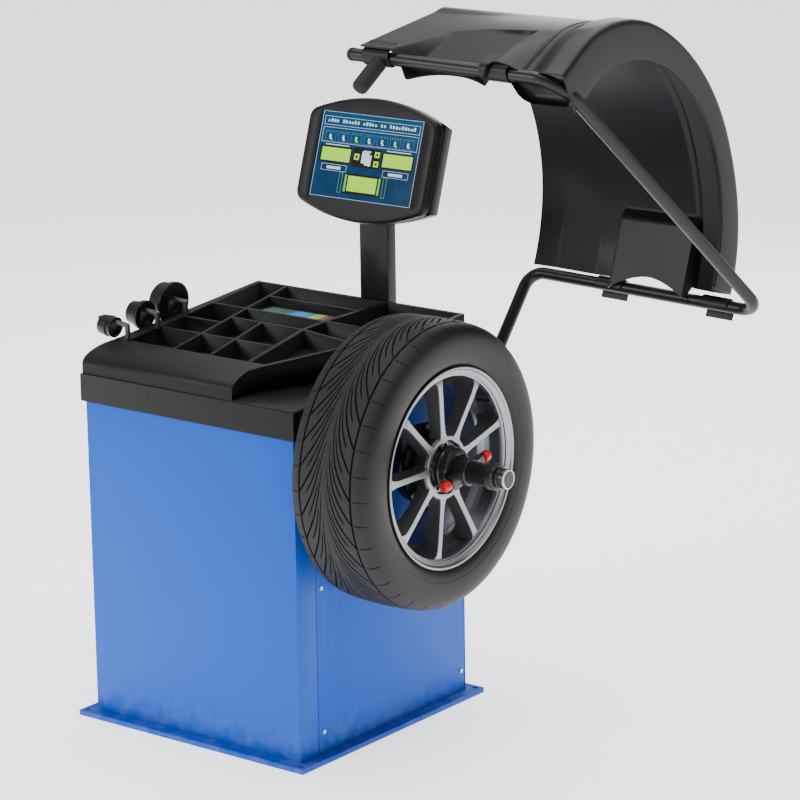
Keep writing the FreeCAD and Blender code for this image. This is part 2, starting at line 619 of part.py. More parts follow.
def make_wheel():
    body = doc.addObject("PartDesign::Body", "wheel_rim")
    face = "mount_face - wheel_middle"
    outer = "hub_face - wheel_middle"
    revolve(body, [(face, "wheel_bore"), (outer, "wheel_bore"), (outer, "hub_radius - 6"),
                   (f"{outer} - 6", "hub_radius"), (face, "hub_radius")])
    spoke = body.newObject("PartDesign::Pad", "spoke")
    spoke.Profile = outline(body, "XY", [
        (f"{face} + 16", "hub_radius - 10"), (f"{face} + 16", "well_radius - 2"), (f"{outer} + 6", "seat_radius - 5"),
        (f"{outer} + 6", "seat_radius - 20"), (f"{outer} - 4", "hub_radius - 10")])
    bind(spoke, Length="spoke_width")
    spoke.Midplane = True
    pattern = body.newObject("PartDesign::PolarPattern", "spokes")
    pattern.Originals = [spoke]
    x_axis = [item for item in body.Origin.OriginFeatures if item.Role == "X_Axis"][0]
    pattern.Axis = (x_axis, [""])
    pattern.Angle = 360
    bind(pattern, Occurrences="spoke_count")
    body.Tip = pattern
    revolve(body, [
        ("-rim_half", "flange_radius - rim_wall"), ("-rim_half", "flange_radius"),
        ("rim_wall - rim_half", "flange_radius"), ("rim_wall + 2 - rim_half", "seat_radius"),
        ("38 - rim_half", "seat_radius"), ("52 - rim_half", "well_radius"), ("rim_half - 70", "well_radius"),
        ("rim_half - 52", "seat_radius"), ("rim_half - rim_wall - 2", "seat_radius"),
        ("rim_half - rim_wall", "flange_radius"), ("rim_half", "flange_radius"),
        ("rim_half", "flange_radius - rim_wall"), ("rim_half - rim_wall", "seat_radius - rim_wall"),
        ("rim_half - 50", "seat_radius - rim_wall"), ("rim_half - 68", "well_radius - rim_wall"),
        ("50 - rim_half", "well_radius - rim_wall"), ("36 - rim_half", "seat_radius - rim_wall"),
        ("rim_wall - rim_half", "seat_radius - rim_wall"),
    ])
    put(body, ("wheel_middle", "axis_side", "axis_height"), angle="spoke_phase", about=AXIS_X)
    lugs = []
    for step in range(5):
        hole = doc.addObject("Part::Cylinder", "lug_hole")
        bind(hole, Radius="lug_radius", Height="hub_face - mount_face + 10")
        turn = f"spoke_phase + {step * 72} + 10"
        put(hole, ("mount_face - 5", f"axis_side + lug_circle * cos({turn})",
                   f"axis_height + lug_circle * sin({turn})"), ALONG_X)
        lugs.append(hole)
    node("wheel_rim", cut(body, *lugs))

    seat = measure("seat_radius + 0.4")
    tread = measure("tyre_radius")
    half = measure("tyre_half")
    wall = measure("tyre_wall")
    bead = measure("rim_half - rim_wall - 2.6")
    shoulder = tread - 9
    bulge = seat + 0.56 * (tread - seat)
    flange = (bead + 1.9, measure("flange_radius + 1"))

    def arc(start, through, end):
        return Part.Arc(Vector(*start, 0), Vector(*through, 0), Vector(*end, 0)).toShape()

    def line(start, end):
        return Part.LineSegment(Vector(*start, 0), Vector(*end, 0)).toShape()

    edge = half - 14
    inside = half - wall
    section = Part.Wire([
        line((-bead + 14, seat), (-bead, seat)),
        line((-bead, seat), (-flange[0], flange[1])),
        arc((-flange[0], flange[1]), (-half, bulge), (-edge, shoulder)),
        arc((-edge, shoulder), (0, tread), (edge, shoulder)),
        arc((edge, shoulder), (half, bulge), flange),
        line(flange, (bead, seat)),
        line((bead, seat), (bead - 14, seat)),
        arc((bead - 14, seat), (inside, bulge), (edge - 14, shoulder - wall)),
        arc((edge - 14, shoulder - wall), (0, tread - wall), (14 - edge, shoulder - wall)),
        arc((14 - edge, shoulder - wall), (-inside, bulge), (14 - bead, seat)),
    ])
    tyre = shaped(Part.Face(section).revolve(Vector(), AXIS_X, 360), "tyre")
    tyre.Placement = FreeCAD.Placement(point("wheel_middle", "axis_side", "axis_height"), FreeCAD.Rotation())
    node("tyre", tyre)

    turn = "spoke_phase + 20"
    stem = "well_radius + 4"
    node("valve_stem", rod(4, 36, ("rim_right - 44", f"axis_side + ({stem}) * cos({turn})",
                                   f"axis_height + ({stem}) * sin({turn})")))


def make_quick_nut():
    node("pressure_cup", turned([
        ("hub_face + 0.2", 38), ("hub_face + 0.2", 47), ("hub_face + 10", 49), ("hub_face + 26", 46),
        ("hub_face + 31", 36), ("hub_face + 31", "nut_bore"), ("hub_face + 22", "nut_bore"), ("hub_face + 18", 38),
    ]))
    left = "hub_face + 31"
    body = turned([(left, "nut_bore"), (left, "nut_radius"), ("nut_right - 3", "nut_radius"),
                   ("nut_right", "nut_radius - 3"), ("nut_right", "nut_bore")])
    axis = ("wing_plane", "axis_side", "axis_height")
    wings = []
    stem_rooms = []
    for side in (0, 180):
        wing = plate("XY", [(-9, 24), (9, 24), (8, "wing_reach"), (-8, "wing_reach")], 22, middle=True)
        wings.append(put(wing, axis, angle=f"wing_angle + {side}"))
        room = doc.addObject("PartDesign::Body", "stem_room")
        revolve(room, [(0, 40), ("stem_radius + nut_gap", 40), ("stem_radius + nut_gap", "wing_reach + 1"),
                       (0, "wing_reach + 1")], axis="V_Axis")
        stem_rooms.append(put(room, axis, angle=f"wing_angle + {side}"))
        button = doc.addObject("PartDesign::Body", "button")
        head = "wing_reach + button_travel + 1"
        revolve(button, [(0, 48), ("stem_radius", 48), ("stem_radius", head), ("button_radius", head),
                         ("button_radius", "button_top - 4"), ("button_radius - 4", "button_top"),
                         (0, "button_top")], axis="V_Axis")
        put(button, axis, angle=f"wing_angle + {side}")
        node("nut_button_rear" if side == 0 else "nut_button_front", button)
    bore = rod("nut_bore", 60, (f"{left} - 5", "axis_side", "axis_height"))
    node("nut_body", cut(fuse(body, cut(fuse(*wings), bore)), *stem_rooms))
    node("nut_barrel", turned([
        ("nut_right", "nut_bore"), ("nut_right", "sleeve_radius"), ("collar_left", "sleeve_radius"),
        ("collar_left", "collar_radius"), ("collar_right - 2", "collar_radius"),
        ("collar_right", "collar_radius - 2"), ("collar_right", "nut_bore"),
    ]))


# ---------------------------------------------------------------- monitor

def monitor_outline(width, side, bow):
    """The monitor's front outline: straight sides with a bowed top and bottom, in X and Z."""
    half = width / 2
    low = -side / 2
    high = side / 2
    def spot(across, up):
        return Vector(across, 0, up)
    return Part.Wire([
        Part.LineSegment(spot(-half, high), spot(-half, low)).toShape(),
        Part.Arc(spot(-half, low), spot(0, low - bow), spot(half, low)).toShape(),
        Part.LineSegment(spot(half, low), spot(half, high)).toShape(),
        Part.Arc(spot(half, high), spot(0, high + bow), spot(-half, high)).toShape(),
    ])


def tilted(shape, name):
    """Stand a monitor piece, made about the middle of its front face, at its tilt."""
    item = shaped(shape, name)
    lean = FreeCAD.Rotation(AXIS_X, -measure("monitor_tilt"))
    item.Placement = FreeCAD.Placement(point("monitor_middle", "monitor_front", "monitor_height"), lean)
    return node(name, item)


def make_monitor():
    width = measure("monitor_width")
    side = measure("monitor_side")
    bow = measure("monitor_bow")
    deep = measure("bezel_deep")
    shell = measure("shell_deep")
    taper = measure("shell_taper")
    wall = measure("tray_wall")
    screen_width = measure("screen_width")
    screen_tall = measure("screen_tall")
    lift = measure("screen_lift")
    front = Part.Face(monitor_outline(width, side, bow)).extrude(Vector(0, deep, 0))
    hollow = Part.Face(monitor_outline(width - 2 * wall, side - wall, bow)).extrude(Vector(0, deep, 0))
    hollow.translate(Vector(0, 2 * wall, 0))
    window = Part.makeBox(screen_width, deep, screen_tall, Vector(-screen_width / 2, -5, lift - screen_tall / 2))
    tilted(front.cut(hollow).cut(window), "monitor_bezel")
    panel = Part.makeBox(screen_width, 6, screen_tall, Vector(-screen_width / 2, 3, lift - screen_tall / 2))
    tilted(panel, "screen_panel")

    def rear_solid(inset, depth):
        near = monitor_outline(width - 2 * inset, side - inset, bow)
        far = monitor_outline(width - 2 * taper - 2 * inset, side - taper - inset, bow * 0.9)
        near.translate(Vector(0, deep, 0))
        far.translate(Vector(0, deep + depth, 0))
        return Part.makeLoft([near, far], True)
    lug_low = Vector(measure("post_middle - monitor_middle") - 12, 0, 0)
    back = rear_solid(0, shell).cut(rear_solid(wall, shell - wall))
    pin_back = measure("hinge_side - monitor_front")
    pin_drop = measure("hinge_height - monitor_height")
    lean = math.radians(measure("monitor_tilt"))
    pin_y = pin_back * math.cos(lean) - pin_drop * math.sin(lean)
    pin_z = pin_back * math.sin(lean) + pin_drop * math.cos(lean)
    knuckle = Part.makeCylinder(8.4, 24, lug_low + Vector(0, pin_y, pin_z), AXIS_X)
    web = Part.makeBox(24, pin_y - deep - shell + wall, 14, lug_low + Vector(0, deep + shell - wall, pin_z - 7))
    bore = Part.makeCylinder(measure("hinge_pin + nut_gap"), 24, lug_low + Vector(0, pin_y, pin_z), AXIS_X)
    tilted(back.fuse([knuckle, web]).cut(bore), "monitor_back")

    column = box(("post_left", "post_front", "post_low"), ("post_width", "post_deep", "post_top - post_low"))
    inner = box(("post_left + 2.5", "post_front + 2.5", "post_low - 1"),
                ("post_width - 5", "post_deep - 5", "post_top - post_low - 1.5"))
    node("monitor_post", cut(column, inner))
    spacer = box(("post_left - 10", "cabinet_half", "post_low"),
                 ("post_width + 20", "post_front - cabinet_half", "skirt_low - 6 - post_low"))
    node("post_bracket", spacer)
    ears = []
    for side_place in ("post_middle - 12.4 - 6", "post_middle + 12.4"):
        ears.append(box((side_place, "hinge_side - 7", "hinge_height - 8"), (6, "post_front - hinge_side + 7", 16)))
    holes = rod("hinge_pin", 60, ("post_middle - 30", "hinge_side", "hinge_height"))
    flange = box(("post_middle - 24", "post_front - 3", "hinge_height - 16"), (48, 3, 36))
    node("tilt_bracket", fuse(cut(fuse(*ears), holes), flange))
    node("tilt_pin", rod("hinge_pin", 44, ("post_middle - 22", "hinge_side", "hinge_height")))


# ---------------------------------------------------------------- hood

def make_hood():
    body = doc.addObject("PartDesign::Body", "hood_shell")
    revolve(body, [
        ("hood_left", "hood_radius"), ("hood_step", "hood_radius"), ("hood_step + 8", "hood_bulge"),
        ("hood_right - hood_edge", "hood_bulge"), ("hood_right", "hood_bulge - hood_edge"), ("hood_right", "hood_ring"),
        ("hood_right - hood_wall", "hood_ring"), ("hood_right - hood_wall", "hood_bulge - hood_edge - 2"),
        ("hood_right - hood_edge - 2", "hood_bulge - hood_wall"), ("hood_step + 10", "hood_bulge - hood_wall"),
        ("hood_step + 2", "hood_radius - hood_wall"), ("hood_left", "hood_radius - hood_wall"),
    ], sweep="hood_sweep")
    put(body, (0, "hood_middle", "hood_height"), angle="-hood_rear", about=AXIS_X)
    room = box(("frame_corner - 70", "frame_front - 40", "frame_corner_high - 140"), (120, 110, 146))
    node("hood_shell", cut(body, room))

    corners = [
        point("frame_start", "frame_front", "frame_high"),
        point("frame_corner", "frame_front", "frame_corner_high"),
        point("frame_far", "frame_rear", "frame_low"),
        point("arm_plane", "frame_rear", "arm_top"),
        point("arm_plane", "pivot_side", "pivot_height"),
        point("pivot_inner", "pivot_side", "pivot_height"),
    ]
    bends = [measure(name) for name in ("corner_bend", "low_bend", "arm_bend", "arm_bend")]
    path = rounded_path(corners, bends)
    outer = pipe(path, measure("tube_radius"))
    inner = pipe(path, measure("tube_radius - tube_wall"))
    node("hood_frame", shaped(outer.cut(inner), "hood_frame"))
    run = corners[1] - corners[0]
    heading = FreeCAD.Rotation(AXIS_Z, Vector(run))

    cap = Part.makeCylinder(measure("tube_radius"), 4).fuse(Part.makeCylinder(measure("tube_radius - tube_wall"), 20))
    end_cap = shaped(cap, "end_cap")
    end_cap.Placement = FreeCAD.Placement(corners[0] - Vector(run).normalize() * 4, heading)
    node("hood_end_cap", end_cap)

    strap_bore = measure("tube_radius")
    clip_length = measure("clip_length")
    clips = []
    screws = []
    for start, end, places, screw_way in (
            (corners[0], corners[1], (0.138, 0.71), AXIS_Z), (corners[3], corners[2], (0.36, 0.81), AXIS_Y)):
        run_way = (end - start).normalize()
        for share in places:
            middle = start + (end - start) * share
            begin = middle - run_way * clip_length / 2
            strap = Part.makeCylinder(strap_bore + 3, clip_length, begin, run_way)
            strap = strap.cut(Part.makeCylinder(strap_bore, clip_length, begin, run_way))
            clips.append(strap)
            screws.append(Part.makeCylinder(4, 3, middle + screw_way * (strap_bore + 3.5), screw_way))
    node("hood_clips", shaped(Part.makeCompound(clips), "hood_clips"))
    node("hood_screws", shaped(Part.makeCompound(screws), "hood_screws"))

    grip_start = corners[0] + (corners[1] - corners[0]) * (measure("grip_place - frame_start")
                                                         / measure("frame_corner - frame_start"))
    grip_way = Vector(0, -72, -47).normalize()
    grip = Part.makeCylinder(measure("grip_radius"), measure("grip_length"),
                             grip_start + grip_way * measure("tube_radius + 3.4"), grip_way)
    grip = grip.makeFillet(6, [edge for edge in grip.Edges if edge.Closed])
    node("hood_grip", shaped(grip, "hood_grip"))


def make_hood_pivot():
    sleeves = []
    ribs = []
    bore = "tube_radius + nut_gap"
    for left in ("pivot_inner + 4", "arm_plane - arm_bend - 30"):
        sleeves.append(rod("tube_radius + pivot_wall", 26, (left, "pivot_side", "pivot_height")))
        ribs.append(plate("YZ", [
            ("cabinet_half + 5", "skirt_low - 96"), ("cabinet_half + 5", "skirt_low - 4"),
            ("pivot_side - 14", "pivot_height + 15"), ("pivot_side", "pivot_height"),
            ("pivot_side + 6", "pivot_height - 16")], 8, (f"{left} + 9", 0, 0)))
    bar = box(("pivot_inner - 6", "cabinet_half", "skirt_low - 100"),
              ("cabinet_half - pivot_inner - 19", 6, 96))
    room = rod(bore, 300, ("pivot_inner - 50", "pivot_side", "pivot_height"))
    node("hood_bracket", cut(fuse(bar, *ribs, *sleeves), room))
    node("hood_spring", coil("tube_radius + 5", 2, 5, "arm_plane - arm_bend - pivot_inner - 76",
                             ("pivot_inner + 36", "pivot_side", "pivot_height"), "hood_spring"))


# ---------------------------------------------------------------- cones and gauge

def make_cones():
    pegs = []
    lean = FreeCAD.Rotation(AXIS_Y, -90 + measure("peg_lean"))
    slope = math.radians(measure("peg_lean"))
    for name, cone in CONES.items():
        deep = measure(cone["deep"])
        base = point("peg_inset - cabinet_half", cone["deep"], tray_height(cone["deep"]))
        top = base + Vector(0, 0, measure("peg_rise"))
        radius = measure("peg_radius")
        sink = measure("peg_sink")
        upright = Part.makeCylinder(radius, measure("peg_rise") + sink, base - Vector(0, 0, sink))
        away = Vector(-math.cos(slope), 0, math.sin(slope))
        leg = Part.makeCylinder(radius, measure("peg_reach"), top, away)
        pegs.append(upright.fuse([leg, Part.makeSphere(radius, top)]))
        bore = measure("cone_bore")
        drop = Vector(0, 0, bore - radius - 0.3)
        drop = Vector(math.sin(slope) * -drop.z, 0, -math.cos(slope) * drop.z)
        start = top + away * 34 + drop
        big = cone["steps"][0][0]
        small = cone["steps"][1][1]
        solid = Part.makeCone(big, big - 2, 14, start, away).fuse(
            Part.makeCone(small + 3, small, cone["length"] - 14, start + away * 14, away))
        solid = solid.cut(Part.makeCylinder(bore, cone["length"], start, away))
        node(name, shaped(solid, name))
    node("cone_pegs", shaped(Part.makeCompound(pegs), "cone_pegs"))


def make_gauge():
    at = ("gauge_side", "gauge_height")
    rod_start = "gauge_plane - 170"
    node("gauge_rod", rod("rod_radius", f"gauge_plane + 12 - ({rod_start})", (rod_start, *at)))
    flange = ring("rod_radius + 14", "rod_radius + fit_gap", 5, ("cabinet_half", *at))
    barrel = ring("rod_radius + 6", "rod_radius + fit_gap", 40, ("cabinet_half - 38", *at))
    node("gauge_guide", fuse(flange, barrel))
    arm = plate("YZ", [(0, -9), ("gauge_arm", -6), ("gauge_arm", 6), (0, 9)], 8)
    put(arm, ("gauge_plane", *at), angle="gauge_lean")
    hub = rod("rod_radius + 6", 12, ("gauge_plane - 1", *at))
    finger = rod(5, 16, ("gauge_plane + 4", "gauge_side + (gauge_arm - 5) * cos(gauge_lean)",
                         "gauge_height + (gauge_arm - 5) * sin(gauge_lean)"))
    room = rod("rod_radius + nut_gap", 20, ("gauge_plane - 4", *at))
    node("gauge_arm", cut(fuse(arm, hub, finger), room))


def make_label():
    middle = "(row_label + row_back) / 2"
    node("label_plate", box(("-label_length / 2 - 67.5", f"{middle} - label_width / 2",
                             tray_height("row_label") + " - 12"), ("label_length", "label_width", "label_thick")))


# ---------------------------------------------------------------- build and write

def check_and_write():
    doc.recompute()
    os.makedirs("parts", exist_ok=True)
    faults = []
    for item in doc.Objects:
        if "Invalid" in item.State or "Error" in item.State:
            faults.append(f"{item.Name} is {item.State}")
    for name, item in nodes.items():
        if item.Shape.isNull() or not item.Shape.isValid() or not item.Shape.Solids:
            faults.append(f"{name} has no valid solid")
    if faults:
        raise RuntimeError("; ".join(faults))
    for name, item in nodes.items():
        item.Shape.exportStep(f"parts/{name}.step")
    print(len(nodes), "nodes written")


make_cabinet()
make_tray()
make_label()
make_spindle()
make_drive()
make_electrics()
make_wheel()
make_quick_nut()
make_monitor()
make_hood()
make_hood_pivot()
make_cones()
make_gauge()
check_and_write()
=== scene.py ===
import json
import math

import bmesh
import bpy
from mathutils import Matrix, Vector


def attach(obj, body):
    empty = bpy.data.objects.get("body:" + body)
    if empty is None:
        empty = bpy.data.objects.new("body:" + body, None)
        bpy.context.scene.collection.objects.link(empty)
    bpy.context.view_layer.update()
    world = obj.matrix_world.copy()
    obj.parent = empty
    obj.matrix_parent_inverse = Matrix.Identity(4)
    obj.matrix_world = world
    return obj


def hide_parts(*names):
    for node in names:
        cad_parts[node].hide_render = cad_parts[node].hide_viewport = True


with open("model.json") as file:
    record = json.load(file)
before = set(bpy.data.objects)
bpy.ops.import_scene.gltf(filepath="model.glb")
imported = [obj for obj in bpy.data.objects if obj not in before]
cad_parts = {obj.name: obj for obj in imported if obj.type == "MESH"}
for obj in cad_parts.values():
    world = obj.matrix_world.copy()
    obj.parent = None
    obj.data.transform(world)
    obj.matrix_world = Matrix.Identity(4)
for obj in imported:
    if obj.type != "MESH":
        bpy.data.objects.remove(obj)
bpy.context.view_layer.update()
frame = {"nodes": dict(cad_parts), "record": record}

# Wheel balancer with a mounted car wheel.  Lengths below are in millimetres unless a name says
# metres; every mesh is scaled to metres when it is made.  +X runs along the spindle, +Z is up.

MM = 0.001
FLAT_ENOUGH = 0.6  # degrees between two triangles of one flat face
BODY_OF = {name: body for body, names in frame["record"]["behaviour"]["bodies"].items() for name in names}

AXIS_Y, AXIS_Z = -70.0, 665.5
WHEEL_X = 451.0
SPOKES, SPOKE_PHASE = 9, 18.3
TYRE_RADIUS = 316
HOOD_Y, HOOD_Z = 115.0, 1150.0
MONITOR_AT, MONITOR_TILT = Vector((90, 225, 1242)), 18.0


# ---------------------------------------------------------------- materials

class Wire:
    """A socket of a finish's nodes.  Sums on it add Math nodes."""

    def __init__(self, finish, socket):
        self.finish = finish
        self.socket = socket

    def math(self, operation, *others):
        return self.finish.add("ShaderNodeMath", {"operation": operation}, dict(enumerate((self, *others))))

    def __add__(self, other):
        return self.math("ADD", other)

    def __sub__(self, other):
        return self.math("SUBTRACT", other)

    def __rsub__(self, other):
        return self.finish.add("ShaderNodeMath", {"operation": "SUBTRACT"}, {0: other, 1: self})

    def __mul__(self, other):
        return self.math("MULTIPLY", other)

    def __pow__(self, other):
        return self.math("POWER", other)

    __radd__ = __add__
    __rmul__ = __mul__


class Finish:
    """A named material whose pattern follows the piece's own coordinates."""

    def __init__(self, name, **constants):
        self.material = bpy.data.materials.new(name)
        self.material.use_nodes = True
        self.tree = self.material.node_tree
        self.shader = self.tree.nodes["Principled BSDF"]
        self.place = self.add("ShaderNodeTexCoord", output="Object")
        for socket, value in constants.items():
            self.shader.inputs[socket.replace("_", " ").title().replace("Ior", "IOR")].default_value = value

    def add(self, kind, settings=None, inputs=None, output=0):
        """Any node: its type, its settings, then the values or links of its sockets."""
        node = self.tree.nodes.new(kind)
        for name, value in (settings or {}).items():
            if name in ("stops", "bands"):
                node.color_ramp.interpolation = "LINEAR" if name == "stops" else "CONSTANT"
                while len(node.color_ramp.elements) < len(value):
                    node.color_ramp.elements.new(0.5)
                for element, (position, colour) in zip(node.color_ramp.elements, value):
                    element.position = position
                    element.color = (*colour, 1)
            else:
                setattr(node, name, value)
        for name, value in (inputs or {}).items():
            self.join(node.inputs[name], value)
        return Wire(self, node.outputs[output])

    def join(self, socket, value):
        if isinstance(value, Wire):
            self.tree.links.new(value.socket, socket)
        else:
            socket.default_value = value

    def shade(self, **values):
        for socket, value in values.items():
            self.join(self.shader.inputs[socket.replace("_", " ").title()], value)
        return self

    def stretched(self, scale=(1, 1, 1), at=(0, 0, 0), turn=(0, 0, 0)):
        return self.add("ShaderNodeMapping", None,
                        {"Vector": self.place, "Location": at, "Rotation": turn, "Scale": scale})

    def noise(self, scale, detail=2.0, place=None, roughness=0.5):
        return self.add("ShaderNodeTexNoise", None, {
            "Vector": place or self.place, "Scale": scale, "Detail": detail, "Roughness": roughness})

    def cells(self, scale):
        return self.add("ShaderNodeTexVoronoi", {"feature": "F1"}, {"Vector": self.place, "Scale": scale}, "Distance")

    def fade(self, value, low, high, start=0.0, end=1.0):
        """A value carried from one range to another and held at both ends."""
        return self.add("ShaderNodeMapRange", {"interpolation_type": "SMOOTHSTEP"}, {
            "Value": value, "From Min": low, "From Max": high, "To Min": start, "To Max": end})

    def blend(self, factor, first, second, mode="MIX"):
        """Two colours mixed by a factor."""
        def full(colour):
            return colour if isinstance(colour, Wire) else (*colour, 1)
        return self.add("ShaderNodeMix", {"data_type": "RGBA", "blend_type": mode},
                        {0: factor, 6: full(first), 7: full(second)}, 2)

    def axis(self, letter, place=None):
        return self.add("ShaderNodeSeparateXYZ", None, {0: place or self.place}, letter)

    def relief(self, height, strength, distance, under=None):
        inputs = {"Height": height, "Strength": strength, "Distance": distance}
        if under:
            inputs["Normal"] = under
        return self.add("ShaderNodeBump", None, inputs)


def lighter(colour, factor):
    return tuple(min(1.0, part * factor) for part in colour)


def powder_coat(name, colour, gloss=0.34):
    """Powder-coated sheet steel: fine orange peel, faint handling marks and dust low down."""
    finish = Finish(name, specular_ior_level=0.22)
    cloud = finish.noise(3.2, 3.0)
    scuff = finish.fade(finish.noise(46, 5.0, finish.stretched((1, 1, 3))), 0.66, 0.78)
    dust = finish.fade(finish.axis("Z"), 0.012, 0.11, 1.0, 0.0) * finish.fade(finish.noise(30, 4.0), 0.35, 0.75)
    tone = finish.blend(cloud, lighter(colour, 0.94), lighter(colour, 1.05))
    tone = finish.blend(scuff * 0.10, tone, lighter(colour, 1.7))
    tone = finish.blend(dust * 0.16, tone, (0.42, 0.42, 0.40))
    peel = finish.noise(620, 2.0)
    return finish.shade(
        base_color=tone, roughness=gloss + 0.10 * cloud + 0.14 * scuff + 0.2 * dust,
        normal=finish.relief(peel, 0.10, 0.0006))


def moulded(name, colour, grain=1500, depth=0.10, gloss=0.42, scratches=0.06, coat=0.0):
    """Moulded plastic: a fine grain, soft cloudy gloss and a few light scratches."""
    finish = Finish(name, specular_ior_level=0.22, coat_weight=coat, coat_roughness=0.12)
    cloud = finish.noise(7, 4.0)
    fine = finish.noise(grain, 3.0)
    line = finish.noise(60, 2.0, finish.stretched((1, 9, 2), turn=(0.4, 0.2, 0.7)))
    scratch = finish.fade(line, 0.70, 0.74)
    tone = finish.blend(cloud, lighter(colour, 0.8), lighter(colour, 1.25))
    tone = finish.blend(scratch * scratches, tone, lighter(colour, 6))
    return finish.shade(base_color=tone, roughness=gloss + 0.12 * cloud + 0.2 * scratch + 0.05 * fine,
                        normal=finish.relief(fine, depth, 0.0004))


def turned_metal(name, colour, rough=0.28, lines=0.12, pull=(60, 1, 1), metallic=1.0):
    """Machined metal with tool lines across one direction."""
    finish = Finish(name, metallic=metallic, specular_ior_level=0.5)
    tool = finish.noise(24, 3.0, finish.stretched(pull))
    cloud = finish.noise(14, 3.0)
    tone = finish.blend(tool, lighter(colour, 0.86), lighter(colour, 1.1))
    return finish.shade(base_color=tone, roughness=rough + 0.12 * tool + 0.1 * cloud,
                        normal=finish.relief(tool, lines, 0.0003))


def glow(name, colour, strength):
    """A lit mark on the screen, with the screen's fine dot grid."""
    finish = Finish(name, roughness=0.25, specular_ior_level=0.1, emission_strength=strength)
    dots = finish.cells(1400)
    tone = finish.blend(finish.fade(dots, 0.1, 0.6), colour, lighter(colour, 0.78))
    return finish.shade(base_color=finish.blend(0.5, colour, (0, 0, 0)), emission_color=tone)


def make_finishes():
    made = {
        "cabinet_blue": powder_coat("cabinet_blue", (0.0, 0.082, 0.50), 0.44),
        "base_blue": powder_coat("base_blue", (0.0, 0.062, 0.44), 0.46),
        "frame_steel": moulded("frame_steel_black", (0.006, 0.006, 0.0065), 900, 0.08, 0.30, coat=0.15),
        "bare_steel": turned_metal("bare_steel", (0.55, 0.56, 0.57)),
        "dark_steel": turned_metal("dark_steel", (0.10, 0.10, 0.11), 0.36),
        "tray_plastic": moulded("tray_plastic", (0.0045, 0.0045, 0.005), 1500, 0.16, 0.38),
        "hood_plastic": moulded("hood_plastic", (0.0062, 0.0062, 0.0066), 1100, 0.05, 0.33, 0.03, 0.03),
        "monitor_plastic": moulded("monitor_plastic", (0.006, 0.006, 0.0065), 1300, 0.14, 0.34),
        "grip_rubber": moulded("grip_rubber", (0.012, 0.012, 0.012), 700, 0.25, 0.55),
        "nut_black": moulded("nut_black", (0.010, 0.010, 0.011), 1000, 0.06, 0.22, coat=0.4),
        "cone_black": moulded("cone_black", (0.006, 0.006, 0.007), 800, 0.10, 0.30, coat=0.2),
        "button_red": moulded("button_red", (0.55, 0.008, 0.012), 1200, 0.05, 0.25, coat=0.4),
        "belt_rubber": moulded("belt_rubber", (0.012, 0.012, 0.012), 700, 0.2, 0.6),
        "motor_grey": powder_coat("motor_grey", (0.12, 0.13, 0.14)),
        "board_green": moulded("board_green", (0.01, 0.12, 0.04), 900, 0.1, 0.4),
        "switch_plastic": moulded("switch_plastic", (0.02, 0.02, 0.02), 1200, 0.1, 0.3),
        "spoke_face": turned_metal("spoke_face", (0.33, 0.34, 0.35), 0.32, 0.10, (1, 30, 30)),
        "spoke_side": turned_metal("spoke_side", (0.12, 0.122, 0.128), 0.36, 0.05, (3, 3, 3)),
        "rim_lip": turned_metal("rim_lip", (0.28, 0.29, 0.31), 0.20, 0.08, (40, 2, 2)),
        "rim_barrel": turned_metal("rim_barrel", (0.24, 0.25, 0.275), 0.26, 0.06, (20, 2, 2)),
    }
    made["tyre_rubber"] = tyre_finish()
    made["screen"] = screen_finish()
    made["label"] = label_finish()
    made["mark_green"] = glow("mark_green", (0.36, 0.72, 0.02), 1.1)
    made["mark_soft_green"] = glow("mark_soft_green", (0.16, 0.42, 0.12), 0.8)
    made["mark_white"] = glow("mark_white", (0.62, 0.74, 0.85), 0.7)
    made["mark_blue"] = glow("mark_blue", (0.10, 0.24, 0.42), 0.6)
    made["mark_black"] = glow("mark_black", (0.004, 0.005, 0.006), 0.1)
    return made


def tyre_finish():
    """Rubber: darker and shinier on the side walls, drier on the tread, with a fine grit in its surface."""
    finish = Finish("tyre_rubber", specular_ior_level=0.30)
    place = finish.stretched(at=(-WHEEL_X * MM, -AXIS_Y * MM, -AXIS_Z * MM))
    deep = finish.axis("Y", place)
    high = finish.axis("Z", place)
    radius = (deep * deep + high * high) ** 0.5
    tread = finish.fade(radius, 0.296, 0.309)
    cloud = finish.noise(9, 4.0)
    grit = finish.noise(900, 3.0)
    tone = finish.blend(tread, (0.006, 0.006, 0.0063), (0.009, 0.009, 0.009))
    tone = finish.blend(finish.fade(cloud, 0.35, 0.75) * 0.35, tone, (0.012, 0.012, 0.0118))
    return finish.shade(base_color=tone, roughness=0.40 + 0.16 * tread + 0.10 * cloud,
                        normal=finish.relief(grit, 0.18, 0.0005))


def screen_finish():
    """Lit screen: dark blue, paler towards the top, with a soft cloud."""
    finish = Finish("screen_glass", roughness=0.12, specular_ior_level=0.12, emission_strength=0.9)
    height = finish.fade(finish.axis("Z"), 1.13, 1.34)
    cloud = finish.noise(14, 3.0)
    tone = finish.add("ShaderNodeValToRGB", {"stops": [
        (0.0, (0.004, 0.030, 0.085)), (0.45, (0.003, 0.026, 0.075)), (1.0, (0.006, 0.055, 0.13))]}, {0: height})
    tone = finish.blend(finish.fade(cloud, 0.4, 0.8) * 0.5, tone, (0.012, 0.075, 0.16))
    return finish.shade(base_color=finish.blend(0.6, tone, (0, 0, 0)), emission_color=tone)


